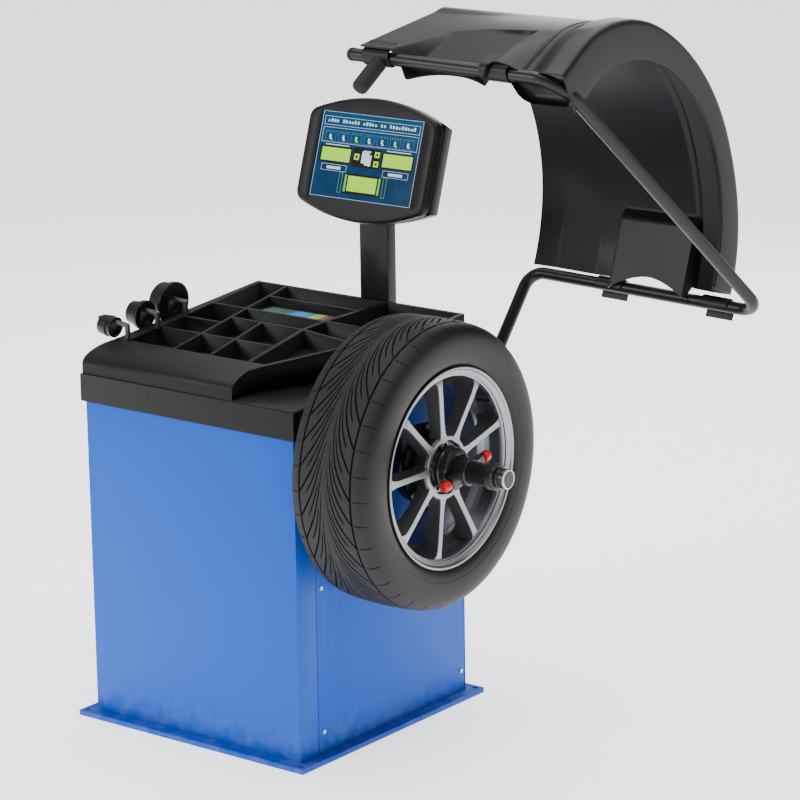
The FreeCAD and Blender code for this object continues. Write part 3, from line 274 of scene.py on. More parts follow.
def label_finish():
    """Printed sheet: broad bands of plain colour along its length, with slanted pale shapes."""
    finish = Finish("label_print", specular_ior_level=0.15)
    along = finish.axis("X")
    slant = finish.axis("X", finish.stretched((1, 1, 1), turn=(0, 0, 0.5)))
    share = (along + 0.164) * (1 / 0.18)
    tone = finish.add("ShaderNodeValToRGB", {"bands": [
        (0.0, (0.004, 0.060, 0.028)), (0.36, (0.006, 0.10, 0.24)), (0.42, (0.010, 0.24, 0.50)),
        (0.66, (0.006, 0.07, 0.16)), (0.70, (0.30, 0.48, 0.015)), (0.88, (0.16, 0.012, 0.020))]}, {0: share})
    stripe = finish.fade(finish.add("ShaderNodeTexWave", None, {
        "Vector": finish.place, "Scale": 26, "Distortion": 2.0, "Detail": 1.0}), 0.72, 0.8)
    tone = finish.blend(stripe * finish.fade(slant, -0.05, 0.1, 0.3, 0.8), tone, (0.42, 0.62, 0.72))
    return finish.shade(base_color=tone, roughness=0.32 + 0.1 * finish.noise(40, 3.0))


# ---------------------------------------------------------------- making pieces

def mesh_from(name, points, faces):
    """A welded mesh in metres from points in millimetres, its faces turned outwards."""
    mesh = bpy.data.meshes.new(name)
    mesh.from_pydata([Vector(point) * MM for point in points], [], faces)
    work = bmesh.new()
    work.from_mesh(mesh)
    bmesh.ops.remove_doubles(work, verts=work.verts, dist=2e-6)
    bmesh.ops.recalc_face_normals(work, faces=work.faces)
    work.to_mesh(mesh)
    work.free()
    return mesh


def stand(name, mesh, finishes, body, stands_for=(), sharp=35.0):
    """Put a finished mesh in the scene on its body."""
    for finish in finishes if isinstance(finishes, (list, tuple)) else [finishes]:
        if isinstance(finish, str):
            finish = FINISHES[finish]
        if finish.material.name not in mesh.materials:
            mesh.materials.append(finish.material)
    mesh.shade_smooth()
    mesh.set_sharp_from_angle(angle=math.radians(sharp))
    item = bpy.data.objects.new(name, mesh)
    bpy.context.scene.collection.objects.link(item)
    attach(item, body)
    if stands_for:
        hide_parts(*stands_for)
    return item


def baked(name, mesh, add_modifiers):
    """The mesh with modifiers worked into it."""
    item = bpy.data.objects.new(name, mesh)
    bpy.context.scene.collection.objects.link(item)
    add_modifiers(item)
    bpy.context.view_layer.update()
    graph = bpy.context.evaluated_depsgraph_get()
    made = bpy.data.meshes.new_from_object(item.evaluated_get(graph))
    bpy.data.objects.remove(item)
    return made


def bevelled(mesh, width, steps=3, angle=30.0):
    def add(item):
        bevel = item.modifiers.new("edges", "BEVEL")
        bevel.width = width * MM
        bevel.segments = steps
        bevel.limit_method = "ANGLE"
        bevel.angle_limit = math.radians(angle)
        bevel.use_clamp_overlap = True
        bevel.miter_outer = "MITER_ARC"
    return baked("bevelled", mesh, add)


def merged_copy(node, whole_faces=True):
    """A copy of a frame node's mesh with its loose triangles merged into whole faces."""
    work = bmesh.new()
    work.from_mesh(frame["nodes"][node].data)
    bmesh.ops.remove_doubles(work, verts=work.verts, dist=3e-6)
    if whole_faces:
        bmesh.ops.dissolve_limit(work, angle_limit=math.radians(FLAT_ENOUGH), verts=work.verts, edges=work.edges)
    mesh = bpy.data.meshes.new(node + "_copy")
    work.to_mesh(mesh)
    work.free()
    return mesh


def softened(node, width, finish, steps=3, angle=30.0, sharp=35.0):
    """A frame node's own shape with its edges broken."""
    mesh = bevelled(merged_copy(node), width, steps, angle)
    mesh.materials.clear()
    return stand(node + "_edged", mesh, finish, BODY_OF[node], [node], sharp)


def painted(finish, *names):
    """Give frame nodes that stay as they are their finish."""
    for name in names:
        data = frame["nodes"][name].data
        data.materials.clear()
        data.materials.append(FINISHES[finish].material)


def lathe(profile, at=(0, AXIS_Y, AXIS_Z), steps=96, closed=True, sweep=360.0):
    """Points and faces of a profile of (along X, radius) turned about an axis along X."""
    points = []
    faces = []
    count = len(profile)
    for turn in range(steps):
        angle = math.radians(sweep * turn / steps)
        for along, radius in profile:
            points.append((at[0] + along, at[1] + radius * math.cos(angle), at[2] + radius * math.sin(angle)))
    for turn in range(steps):
        after = (turn + 1) % steps
        for k in range(count if closed else count - 1):
            m = (k + 1) % count
            faces.append((turn * count + k, turn * count + m, after * count + m, after * count + k))
    return points, faces


def rounded(profile, radius=1.0, steps=3):
    """A closed profile with its corners rounded."""
    smooth = []
    count = len(profile)
    for k, corner in enumerate(profile):
        corner = Vector(corner)
        before = Vector(profile[k - 1]) - corner
        after = Vector(profile[(k + 1) % count]) - corner
        reach = min(radius, before.length * 0.45, after.length * 0.45)
        straight = before.length < 1e-6 or after.length < 1e-6 or before.normalized().dot(after.normalized()) < -0.995
        if straight or reach < 0.05:
            smooth.append(corner)
            continue
        start = corner + before.normalized() * reach
        end = corner + after.normalized() * reach
        for step in range(steps + 1):
            t = step / steps
            smooth.append(start * (1 - t) ** 2 + corner * 2 * t * (1 - t) + end * t ** 2)
    return [tuple(spot) for spot in smooth]


def lathe_piece(name, profile, finish, body, stands_for, radius=1.0, steps=96, at=(0, AXIS_Y, AXIS_Z)):
    points, faces = lathe(rounded(profile, radius), at, steps)
    return stand(name, mesh_from(name, points, faces), finish, body, stands_for)


def skin(rings, closed_rings=True, caps=True):
    """Points and faces over a row of rings with equal numbers of points."""
    count = len(rings[0])
    points = [spot for ring in rings for spot in ring]
    faces = []
    for k in range(len(rings) - 1):
        for m in range(count if closed_rings else count - 1):
            n = (m + 1) % count
            faces.append((k * count + m, k * count + n, (k + 1) * count + n, (k + 1) * count + m))
    if caps:
        faces.append(tuple(range(count)))
        faces.append(tuple((len(rings) - 1) * count + m for m in range(count)))
    return points, faces


def joined(parts):
    """Several (points, faces) as one."""
    points = []
    faces = []
    for some_points, some_faces in parts:
        start = len(points)
        points.extend(some_points)
        faces.extend(tuple(index + start for index in face) for face in some_faces)
    return points, faces


def block(low, high):
    (x0, y0, z0), (x1, y1, z1) = low, high
    points = [(x, y, z) for x in (x0, x1) for y in (y0, y1) for z in (z0, z1)]
    faces = [(0, 1, 3, 2), (4, 6, 7, 5), (0, 4, 5, 1), (2, 3, 7, 6), (0, 2, 6, 4), (1, 5, 7, 3)]
    return points, faces


def between(table, place):
    """A value read from a table of (place, value) pairs, straight from pair to pair."""
    if place <= table[0][0]:
        return table[0][1]
    for (a, low), (b, high) in zip(table, table[1:]):
        if place <= b:
            return low + (high - low) * (place - a) / (b - a)
    return table[-1][1]


def ramp(value, low, high):
    """0 below low, 1 above high, straight between."""
    return min(1.0, max(0.0, (value - low) / (high - low)))


def ease(value, low, high):
    """0 below low, 1 above high, smooth between."""
    t = ramp(value, low, high)
    return t * t * (3 - 2 * t)


# ---------------------------------------------------------------- repeating with geometry nodes

def repeat_tree():
    """Geometry nodes: copies of a piece along a line, each turned one step further, merged and placed."""
    tree = bpy.data.node_groups.new("repeat_piece", "GeometryNodeTree")
    sockets = (("Geometry", "Geometry"), ("Count", "Int"), ("Step", "Vector"), ("Turn", "Vector"),
               ("Place", "Vector"), ("Join", "Float"), ("Finish", "Material"), ("Second finish", "Material"))
    for name, kind in sockets:
        tree.interface.new_socket(name, in_out="INPUT", socket_type="NodeSocket" + kind)
    tree.interface.new_socket("Geometry", in_out="OUTPUT", socket_type="NodeSocketGeometry")

    def add(kind, settings=None, **inputs):
        node = tree.nodes.new(kind)
        for name, value in (settings or {}).items():
            setattr(node, name, value)
        for name, value in inputs.items():
            socket = node.inputs[name.replace("_", " ")]
            if isinstance(value, bpy.types.NodeSocket):
                tree.links.new(value, socket)
            else:
                socket.default_value = value
        return node.outputs[0]

    given = tree.nodes.new("NodeGroupInput").outputs
    line = add("GeometryNodeMeshLine", {"mode": "OFFSET"}, Count=given["Count"], Offset=given["Step"])
    index = add("GeometryNodeInputIndex")
    turn = add("ShaderNodeVectorMath", {"operation": "SCALE"}, Vector=given["Turn"], Scale=index)
    copies = add("GeometryNodeInstanceOnPoints", None, Points=line, Instance=given["Geometry"], Rotation=turn)
    real = add("GeometryNodeRealizeInstances", None, Geometry=copies)
    whole = add("GeometryNodeMergeByDistance", None, Geometry=real, Distance=given["Join"])
    placed = add("GeometryNodeTransform", None, Geometry=whole, Translation=given["Place"])
    coated = add("GeometryNodeSetMaterial", None, Geometry=placed, Material=given["Finish"])
    marked = add("GeometryNodeInputNamedAttribute", {"data_type": "BOOLEAN"}, Name="second")
    last = add("GeometryNodeSetMaterial", None, Geometry=coated, Selection=marked, Material=given["Second finish"])
    tree.links.new(last, tree.nodes.new("NodeGroupOutput").inputs[0])
    return tree


def repeated(mesh, count, finish, second=None, step=(0, 0, 0), turn=(0, 0, 0), place=(0, 0, 0), join=0.0):
    """A mesh of many copies; steps and places are in millimetres and turns in degrees."""
    values = {
        "Count": count, "Step": tuple(Vector(step) * MM), "Turn": tuple(math.radians(a) for a in turn),
        "Place": tuple(Vector(place) * MM), "Join": join * MM,
        "Finish": FINISHES[finish].material, "Second finish": FINISHES[second or finish].material,
    }

    def add(item):
        modifier = item.modifiers.new("repeat", "NODES")
        modifier.node_group = REPEAT
        for socket in REPEAT.interface.items_tree:
            if socket.in_out == "INPUT" and socket.name in values:
                modifier[socket.identifier] = values[socket.name]
    return baked("repeated", mesh, add)


def mark_faces(mesh, chosen):
    """Name the faces that take a piece's second finish."""
    marks = mesh.attributes.new("second", "BOOLEAN", "FACE")
    for face in mesh.polygons:
        marks.data[face.index].value = chosen(face)


# ---------------------------------------------------------------- camera, lights and floor

def make_camera():
    camera = bpy.data.cameras.new("camera")
    camera.lens = 152.7
    camera.sensor_width = 36
    camera.shift_x = 0.0064
    camera.shift_y = -0.030
    camera.clip_end = 60
    item = bpy.data.objects.new("camera", camera)
    forward = Vector((-0.5995, 0.7618, -0.2453)).normalized()
    right = Vector((0.7883, 0.6154, -0.0152))
    right = (right - forward * right.dot(forward)).normalized()
    upward = right.cross(forward)
    turn = Matrix((right, upward, -forward)).transposed().to_4x4()
    item.matrix_world = Matrix.Translation(Vector((4.7747, -5.6330, 2.6391))) @ turn
    bpy.context.scene.collection.objects.link(item)
    bpy.context.scene.camera = item


def soft_light(name, at, aim, size, power):
    light = bpy.data.lights.new(name, "AREA")
    light.shape = "RECTANGLE"
    light.size, light.size_y = size
    light.energy = power
    item = bpy.data.objects.new(name, light)
    item.location = at
    item.rotation_euler = (Vector(aim) - Vector(at)).to_track_quat("-Z", "Y").to_euler()
    bpy.context.scene.collection.objects.link(item)


def make_studio():
    floor = bpy.data.meshes.new("floor")
    reach = 40
    floor.from_pydata([(-reach, -reach, 0), (reach, -reach, 0), (reach, reach, 0), (-reach, reach, 0)], [],
                      [(0, 1, 2, 3)])
    pale = Finish("pale_floor", roughness=0.8, specular_ior_level=0.1, emission_strength=1.5)
    pale.shade(base_color=pale.blend(pale.noise(1.5, 3.0), (0.90, 0.90, 0.90), (0.93, 0.93, 0.93)))
    floor.materials.append(pale.material)
    item = bpy.data.objects.new("floor", floor)
    bpy.context.scene.collection.objects.link(item)

    world = bpy.data.worlds.new("studio")
    world.use_nodes = True
    world.node_tree.nodes["Background"].inputs["Color"].default_value = (1, 1, 1, 1)
    world.node_tree.nodes["Background"].inputs["Strength"].default_value = 0.46
    bpy.context.scene.world = world

    soft_light("key", (-2.2, -5.0, 3.0), (0.1, 0, 0.7), (2.6, 2.6), 170)
    soft_light("above", (0.4, 0.6, 4.6), (0.2, 0, 0.6), (4.5, 4.5), 250)
    soft_light("side", (5.2, -0.6, 2.2), (0.4, 0, 0.9), (0.8, 2.4), 7)
    soft_light("rear", (-1.5, 4.5, 2.8), (0.2, 0, 1.0), (2.4, 2.4), 70)


# ---------------------------------------------------------------- cabinet and tray

def make_cabinet():
    for name in ("front_panel", "right_side_panel", "left_side_panel", "rear_panel"):
        softened(name, 0.9, "cabinet_blue", steps=2)
    softened("base_plate", 1.6, "base_blue")
    painted("bare_steel", "panel_screws")
    painted("frame_steel", "inner_frame", "support_column", "motor_mount")
    painted("motor_grey", "drive_motor", "power_supply", "spindle_housing")
    painted("dark_steel", "spindle_bearings", "spindle_pulley", "motor_pulley", "encoder_disc", "piezo_sensors",
            "housing_cradle")
    painted("bare_steel", "main_shaft", "cone_spring", "hood_spring", "tilt_pin")
    painted("board_green", "control_board")
    painted("switch_plastic", "encoder_reader")
    painted("belt_rubber", "drive_belt")
    for name in ("power_inlet", "switch_body", "switch_rocker"):
        softened(name, 0.6, "switch_plastic", steps=2)


def make_tray():
    mesh = bevelled(merged_copy("weight_tray", whole_faces=False), 1.1, 2, 28)
    mesh.materials.clear()
    stand("weight_tray_moulded", mesh, "tray_plastic", "cabinet", ["weight_tray"], 40)
    softened("label_plate", 0.4, "label", 1)


# ---------------------------------------------------------------- wheel

PITCHES = 36
TREAD = [(0, TYRE_RADIUS), (30, 315.6), (52, 314.6), (66, 313.4), (76, 312), (84, 310), (90, 307), (95, 303), (99, 298),
         (102.5, 291), (105, 281), (106, 270), (106, 258), (104.8, 245), (102.2, 232), (99, 221), (96, 213)]


def tread_height(across):
    """The tyre's radius at a distance across, up to the widest place."""
    table = TREAD[:10]
    for k in range(len(table) - 1):
        if across <= table[k + 1][0]:
            p0 = table[max(k - 1, 0)][1]
            (a, p1), (b, p2) = table[k], table[k + 1]
            p3 = table[min(k + 2, len(table) - 1)][1]
            t = (across - a) / (b - a)
            return 0.5 * (2 * p1 + (p2 - p0) * t + (2 * p0 - 5 * p1 + 4 * p2 - p3) * t ** 2
                          + (3 * p1 - p0 - 3 * p2 + p3) * t ** 3)
    return table[-1][1]


SWEEP = [(0, -34), (5, -8), (9, 22), (13, 48), (18, 72), (26, 98), (36, 120), (50, 144), (66, 168), (70, 170),
         (110, 172)]
WIDTH = [(0, 6), (5, 12), (12, 14), (20, 11), (30, 9), (44, 8), (64, 6.5), (70, 2.4), (110, 2.4)]


def make_tyre():
    """One pitch of the tread, swept so that its grooves follow the mesh, then repeated round."""
    pitch = 2 * math.pi * TYRE_RADIUS / PITCHES
    lip = 0.35
    rows = [0, 3, 5.6, 6.4, 9, 12, 16, 20, 24.5, 25.5, 30, 36, 42, 48, 54, 61.5, 62.5, 65.6, 66.4, 69.6, 70.4,
            73.6, 74.4, 79, 84, 88, 92, 95, 97.5, 99, 100.5]
    side = [(102.5, 291), (104.4, 284), (105.6, 276), (106.1, 268), (106, 258), (105.2, 249), (104.6, 248.2),
            (103.4, 240), (101.6, 232), (97.6, 225), (94.4, 222.4), (93.6, 218), (93.0, 211.5), (92.4, 206), (91.9, 203.6)]
    inner = [(79, 203.6), (84, 212), (92, 240), (94, 262), (88, 285), (60, 299), (30, 302), (0, 303)]

    def columns(across):
        """Places along the pitch, each with whether it is in the long groove, the short one or neither."""
        wide = between(WIDTH, across)
        short = max(2.0, 0.8 * wide)
        first = [-wide / 2 - lip, -wide / 2 + lip, wide / 2 - lip, wide / 2 + lip]
        second = [pitch / 2 + place for place in (-short / 2 - lip, -short / 2 + lip, short / 2 - lip, short / 2 + lip)]
        gap = (second[0] - first[3]) / 3
        rest = (first[0] + pitch - second[3]) / 3
        return ([(place, "long" if 0 < k < 3 else "") for k, place in enumerate(first)]
                + [(first[3] + gap, ""), (first[3] + 2 * gap, "")]
                + [(place, "short" if 0 < k < 3 else "") for k, place in enumerate(second)]
                + [(second[3] + rest, ""), (second[3] + 2 * rest, ""), (first[0] + pitch, "")])

    def depth(across, kind):
        round_groove = 66.0 < across < 70.0
        if round_groove:
            return 6.5
        if kind == "long" and 6.0 < across < 66:
            return 6.0 * ease(across, 4, 13)
        if kind == "short" and 19 < across < 43:
            return 4.5
        if kind == "long" and 74 < across < 100:
            return 2.2
        return 0.0

    half = []
    for across in rows:
        ring = []
        for place, kind in columns(across):
            angle = (place + between(SWEEP, across)) / TYRE_RADIUS
            ring.append((across, tread_height(across) - depth(across, kind), angle))
        half.append(ring)
    for across, radius in side + inner:
        ring = []
        for place, kind in columns(110):
            ring.append((across, radius, (place + between(SWEEP, 110)) / TYRE_RADIUS))
        half.append(ring)
    rings = [[(-x, r, a) for x, r, a in ring] for ring in reversed(half[1:-1])] + half
    rings.append([(-x, r, a) for x, r, a in half[-1]])
    points, faces = skin([[(x, r * math.cos(a), r * math.sin(a)) for x, r, a in ring] for ring in rings],
                         closed_rings=False, caps=False)
    count = len(rings[0])
    last = len(rings) - 1
    for k in range(count - 1):
        faces.append((last * count + k, last * count + k + 1, k + 1, k))
    mesh = mesh_from("tyre_pitch", points, faces)
    whole = repeated(mesh, PITCHES, "tyre_rubber", turn=(360 / PITCHES, 0, 0),
                     place=(WHEEL_X, AXIS_Y, AXIS_Z), join=0.05)
    stand("tyre_moulded", whole, "tyre_rubber", "spindle", ["tyre"], 28)


def make_rim():
    """Barrel and lips turned, spokes repeated round the hub."""
    right, left = 552 - WHEEL_X, 350 - WHEEL_X
    barrel = [(right, 220.5), (right, 216), (right - 1.5, 214.5), (right - 4, 213.6), (right - 6, 211), (right - 7, 206.5),
              (right - 10, 205), (right - 12, 203.4), (right - 13, 199.5), (right - 22, 197), (right - 48, 195),
              (right - 58, 189), (right - 70, 177), (left + 50, 176), (left + 36, 196), (left + 9, 199), (left + 7, 212),
              (left, 214), (left, 220.5), (left + 6.5, 220.5), (left + 8.5, 203), (left + 38, 203), (left + 52, 182),
              (right - 70, 182), (right - 52, 203), (right - 8.5, 203.05), (right - 6.5, 220.5)]
    points, faces = lathe(rounded(barrel, 1.2, 2), (WHEEL_X, AXIS_Y, AXIS_Z), 144)
    mesh = mesh_from("rim_barrel", points, faces)
    mesh.materials.append(FINISHES["rim_barrel"].material)
    mesh.materials.append(FINISHES["rim_lip"].material)
    for face in mesh.polygons:
        middle = face.center
        radius = math.hypot(middle.y - AXIS_Y * MM, middle.z - AXIS_Z * MM)
        face.material_index = int(middle.x > 0.5385 and radius > 0.196)
    stand("rim_barrel_turned", mesh, ["rim_barrel", "rim_lip"], "spindle", ["wheel_rim"], 25)

    sections = []
    for step in range(19):
        t = step / 18
        radius = 58 + (199 - 58) * t
        front = 84 + 6 * ease(radius, 70, 190) - 3 * ease(radius, 192, 200)
        back = 58 - 26 * ease(radius, 150, 199)
        face_half = 7.4 + 17 * math.exp(-(radius - 58) / 8) + 6 * math.exp(-(199 - radius) / 8)
        foot_half = 12.5 + 16 * math.exp(-(radius - 58) / 11) + 16 * math.exp(-(199 - radius) / 15)
        middle = (front + back) / 2
        ring = [(front, -face_half + 1.2), (front, face_half - 1.2), (front - 1.2, face_half),
                (front - 5, face_half + 0.6), (middle, (face_half + foot_half) / 2 - 0.5), (back, foot_half),
                (back, -foot_half), (middle, -(face_half + foot_half) / 2 + 0.5), (front - 5, -face_half - 0.6),
                (front - 1.2, -face_half)]
        sections.append([(along, across, radius) for along, across in ring])
    points, faces = skin(sections)
    spoke = mesh_from("spoke", points, faces)
    mark_faces(spoke, lambda face: face.normal.x > 0.9)
    whole = repeated(spoke, SPOKES, "spoke_side", "spoke_face", turn=(360 / SPOKES, 0, 0),
                     place=(WHEEL_X, AXIS_Y, AXIS_Z))
    turn = Matrix.Translation(Vector((0, AXIS_Y * MM, AXIS_Z * MM))) @ Matrix.Rotation(
        math.radians(SPOKE_PHASE), 4, "X") @ Matrix.Rotation(math.radians(-90), 4, "X") @ Matrix.Translation(
        Vector((0, -AXIS_Y * MM, -AXIS_Z * MM)))
    whole.transform(turn)
    stand("spokes_cast", whole, ["spoke_side", "spoke_face"], "spindle", (), 30)

    hub = [(40, 31), (40, 66), (46, 72), (78, 73), (83.5, 69), (84.4, 66), (84.4, 60), (80, 57), (74, 56), (74, 40),
           (82, 38), (82, 31)]
    points, faces = lathe(rounded(hub, 1.4, 3), (WHEEL_X, AXIS_Y, AXIS_Z), 120)
    mesh = mesh_from("hub", points, faces)
    mesh.materials.append(FINISHES["spoke_side"].material)
    mesh.materials.append(FINISHES["spoke_face"].material)
    for face in mesh.polygons:
        radius = math.hypot(face.center.y - AXIS_Y * MM, face.center.z - AXIS_Z * MM)
        face.material_index = int(face.normal.x > 0.7 and 0.0585 < radius < 0.0705)
    stand("hub_turned", mesh, ["spoke_side", "spoke_face"], "spindle", (), 30)

    socket = [(0, 6.2), (8, 6.2), (8, 9.4), (7, 10.2), (0, 10.2)]
    points, faces = lathe(rounded(socket, 0.5, 2), (0, 0, 48), 24)
    whole = repeated(mesh_from("lug_seat", points, faces), 5, "spoke_face", turn=(72, 0, 0),
                     place=(WHEEL_X + 72.5, AXIS_Y, AXIS_Z))
    stand("lug_seats", whole, "spoke_face", "spindle")
    painted("belt_rubber", "valve_stem")


def make_spindle():
    softened("backplate", 1.2, "nut_black")
    softened("back_cone", 1.0, "dark_steel")


# ---------------------------------------------------------------- quick nut

def make_quick_nut():
    lathe_piece("pressure_cup_turned", [(535.2, 38), (535.2, 47), (537, 49), (545, 49.5), (548, 47.5), (561, 45.5),
                                        (564, 42), (566, 36), (566, 18.2), (557, 18.2), (553, 38)],
                "nut_black", "quick_nut", ["pressure_cup"], 1.2)
    softened("nut_body", 0.9, "nut_black")
    thread = [(602, 25), (652, 25), (652, 27.6)]
    for step in range(6):
        start = 653 + step * 2.2
        thread += [(start, 27.6), (start + 0.7, 28.8), (start + 1.4, 28.8), (start + 2.1, 27.6)]
    thread += [(667, 27.2), (668, 29), (672, 28.4), (673, 26), (673, 18.2), (602, 18.2)]
    lathe_piece("nut_barrel_turned", thread, "nut_black", "quick_nut", ["nut_barrel"], 0.5)
    sleeve = [(672.6, 18.1), (672.6, 22.5), (680, 22.5), (681, 21.5), (695, 21.5), (695, 18.1)]
    lathe_piece("shaft_end_sleeve", sleeve, "nut_black", "spindle", (), 0.6)
    tip = [(695.2, 18.1), (695.2, 21.6), (698, 21.6), (699, 20.6), (699, 18.1)]
    lathe_piece("shaft_end_ring", tip, "bare_steel", "spindle", (), 0.4)
    # a nut-black disc closing the end ring: painted shade, a dark sheet standing in for the shade inside the shaft's
    # bore
    bore_shade_disc = [(698.2, 0.01), (699.3, 0.01), (699.3, 16.2), (698.2, 16.2)]
    lathe_piece("shaft_end_bore_shade_disc", bore_shade_disc, "nut_black", "spindle", (), 0.2)
    for name in ("nut_button_rear", "nut_button_front"):
        softened(name, 1.6, "button_red")


# ---------------------------------------------------------------- monitor

def rounded_loop(width, side, bow, radius, count=24):
    """Points round an outline with bowed top and bottom, the same number from corner to corner."""
    half, high = width / 2, side / 2
    loop = []
    corners = [(half, high), (-half, high), (-half, -high), (half, -high)]
    for k, (cx, cz) in enumerate(corners):
        sx = 1 if cx > 0 else -1
        sz = 1 if cz > 0 else -1
        begin = math.radians(90 * k)
        for step in range(8):
            angle = begin + math.radians(90) * step / 7
            loop.append((cx - sx * radius + radius * math.cos(angle), cz - sz * radius + radius * math.sin(angle)))
        nx, nz = corners[(k + 1) % 4]
        a = (cx - sx * radius, cz) if k % 2 == 0 else (cx, cz - sz * radius)
        b = (nx + sx * radius, nz) if k % 2 == 0 else (nx, nz + sz * radius)
        for step in range(1, count):
            t = step / count
            loop.append((a[0] + (b[0] - a[0]) * t, a[1] + (b[1] - a[1]) * t))
    if bow:
        loop = [(x, z + math.copysign(bow * (1 - (x / half) ** 2), z) * min(1.0, abs(z) / (high * 0.6)))
                for x, z in loop]
    return loop


def tilted(points):
    """Monitor points, given across, deep and up from the middle of its front, at its tilt."""
    turn = Matrix.Rotation(math.radians(-MONITOR_TILT), 3, "X")
    return [MONITOR_AT + turn @ Vector(point) for point in points]


def make_monitor():
    width, side, bow = 368, 203, 40
    window = rounded_loop(290, 198, 0, 2)
    window = [(x, z + 4) for x, z in window]

    def loop(inset, deep, radius=15):
        """The outline drawn in by an inset at a depth."""
        return [(x, deep, z) for x, z in rounded_loop(width - 2 * inset, side - 2 * inset, bow, radius)]
    rings = [[(x, 6, z) for x, z in window], [(x, 1.2, z) for x, z in window],
             [(x * 1.006, 0.2, 4 + (z - 4) * 1.008) for x, z in window],
             loop(9, 0), loop(4, 1.2), loop(1.2, 4.5), loop(0, 9), loop(0, 23), loop(0.6, 25.5), loop(2.6, 26.4),
             loop(2.6, 27.6)]
    rings = [tilted(ring) for ring in rings]
    back = [tilted(loop(6, 27.6)), tilted(loop(6, 8)), tilted([(x * 1.03, 8, 4 + (z - 4) * 1.03) for x, z in window]),
            tilted([(x * 1.03, 6, 4 + (z - 4) * 1.03) for x, z in window])]
    rings = rings + back
    rings.append(rings[0])
    points, faces = skin(rings, caps=False)
    stand("monitor_bezel_moulded", mesh_from("bezel", points, faces), "monitor_plastic", "monitor",
          ["monitor_bezel"], 50)
    softened("monitor_back", 3.0, "monitor_plastic", steps=3, angle=20)
    painted("screen", "screen_panel")
    softened("monitor_post", 2.2, "frame_steel")
    for name in ("post_bracket", "tilt_bracket"):
        softened(name, 1.0, "frame_steel", steps=2)
    make_screen_marks()


def make_screen_marks():
    """Lit marks on the screen, as thin plates just above it; across and up are from the screen's middle."""
    marks = {"mark_green": [], "mark_soft_green": [], "mark_white": [], "mark_blue": [], "mark_black": []}

    def plate(kind, x0, z0, x1, z1, layer=1):
        top = 3 - 0.25 * layer
        low, high = (x0, top, z0 + 4), (x1, 3.2, z1 + 4)
        points, faces = block(low, high)
        marks[kind].append((tilted(points), faces))

    def outline(kind, x0, z0, x1, z1, wide=0.7, layer=1):
        plate(kind, x0, z0, x1, z0 + wide, layer)
        plate(kind, x0, z1 - wide, x1, z1, layer)
        plate(kind, x0, z0 + wide, x0 + wide, z1 - wide, layer)
        plate(kind, x1 - wide, z0 + wide, x1, z1 - wide, layer)

    outline("mark_white", -143, -97, 143, 97, 0.8)
    outline("mark_white", -136, 66, 136, 86, 0.8)
    for step in range(30):
        if step in (4, 11, 17, 20):
            continue
        tall = 5 + (step * 7) % 4
        plate("mark_white", -126 + step * 8.4, 73, -121.5 + step * 8.4 + (step % 3) * 0.6, 73 + tall)
    outline("mark_white", -136, 27, 136, 61, 0.8)
    for step in range(34):
        plate("mark_blue", -128 + step * 7.6, 52, -124.5 + step * 7.6, 53.6)
    for step in range(7):
        middle = -112 + step * 37
        outline("mark_blue", middle - 15, 30, middle + 15, 50, 0.6)
        kind = "mark_green" if step in (2, 5) else "mark_white"
        plate(kind, middle - 3.4, 36, middle + 2.2, 45)
        plate(kind, middle - 1, 33, middle + 5.2, 36.5)
    for side in (-1, 1):
        centre = side * 88
        plate("mark_black", centre - 45, -18, centre + 45, 19)
        plate("mark_green", centre - 41, -14.5, centre + 41, 15.5, 2)
        plate("mark_white", centre - 34, 21, centre + 34, 23)
        outline("mark_white", centre - 36, -37, centre + 36, -22, 0.7)
        plate("mark_white", centre - 20, -33, centre + 20, -26.5)
    plate("mark_black", -40, -22, 40, 22)
    for x0, z0, x1, z1 in ((-14, -12, -4, 14), (-4, -16, 6, 17), (6, -17, 14, 8), (-10, 12, 10, 17)):
        plate("mark_white", x0, z0, x1, z1, 2)
    plate("mark_green", -35, -6, -21, 8, 2)
    plate("mark_black", -31, -2, -25, 4, 3)
    plate("mark_green", 22, 4, 36, 17, 2)
    plate("mark_black", 26, 8, 32, 13, 3)
    plate("mark_green", 22, -17, 36, -4, 2)
    plate("mark_black", 26, -13, 32, -8, 3)
    plate("mark_black", -54, -84, 54, -38)
    plate("mark_green", -41, -78, 41, -43, 2)
    plate("mark_soft_green", -51, -80, -45, -41, 2)
    plate("mark_soft_green", 45, -80, 51, -41, 2)
    outline("mark_soft_green", 58, -84, 68, -38, 0.8)
    outline("mark_soft_green", -68, -84, -58, -38, 0.8)
    for kind, parts in marks.items():
        points, faces = joined(parts)
        stand("screen_" + kind, mesh_from(kind, points, faces), kind, "monitor")


# ---------------------------------------------------------------- hood

RING_EDGE = [(-22, 409), (-10, 408), (10, 407), (40, 406), (60, 402), (75, 396), (88, 388), (98, 376),
             (108, 352), (118, 342)]
CHANNELS, CHANNEL_DEEP, CHANNEL_WIDE = (748, 765), 4.5, 3.6
POCKET_TOP, POCKET_RIGHT = 99.0, 688
FRONT_FLOOR, FRONT_FACING = 401.6, 126.3  # distance from the hood's axis, and the way that the flat floor faces
REAR_FLOOR, REAR_FACING = 431.4, -19.5
SHEET_END = 116.5
FLAT_NORMAL = math.radians(98.4)
FLAT_DISTANCE = 438.5


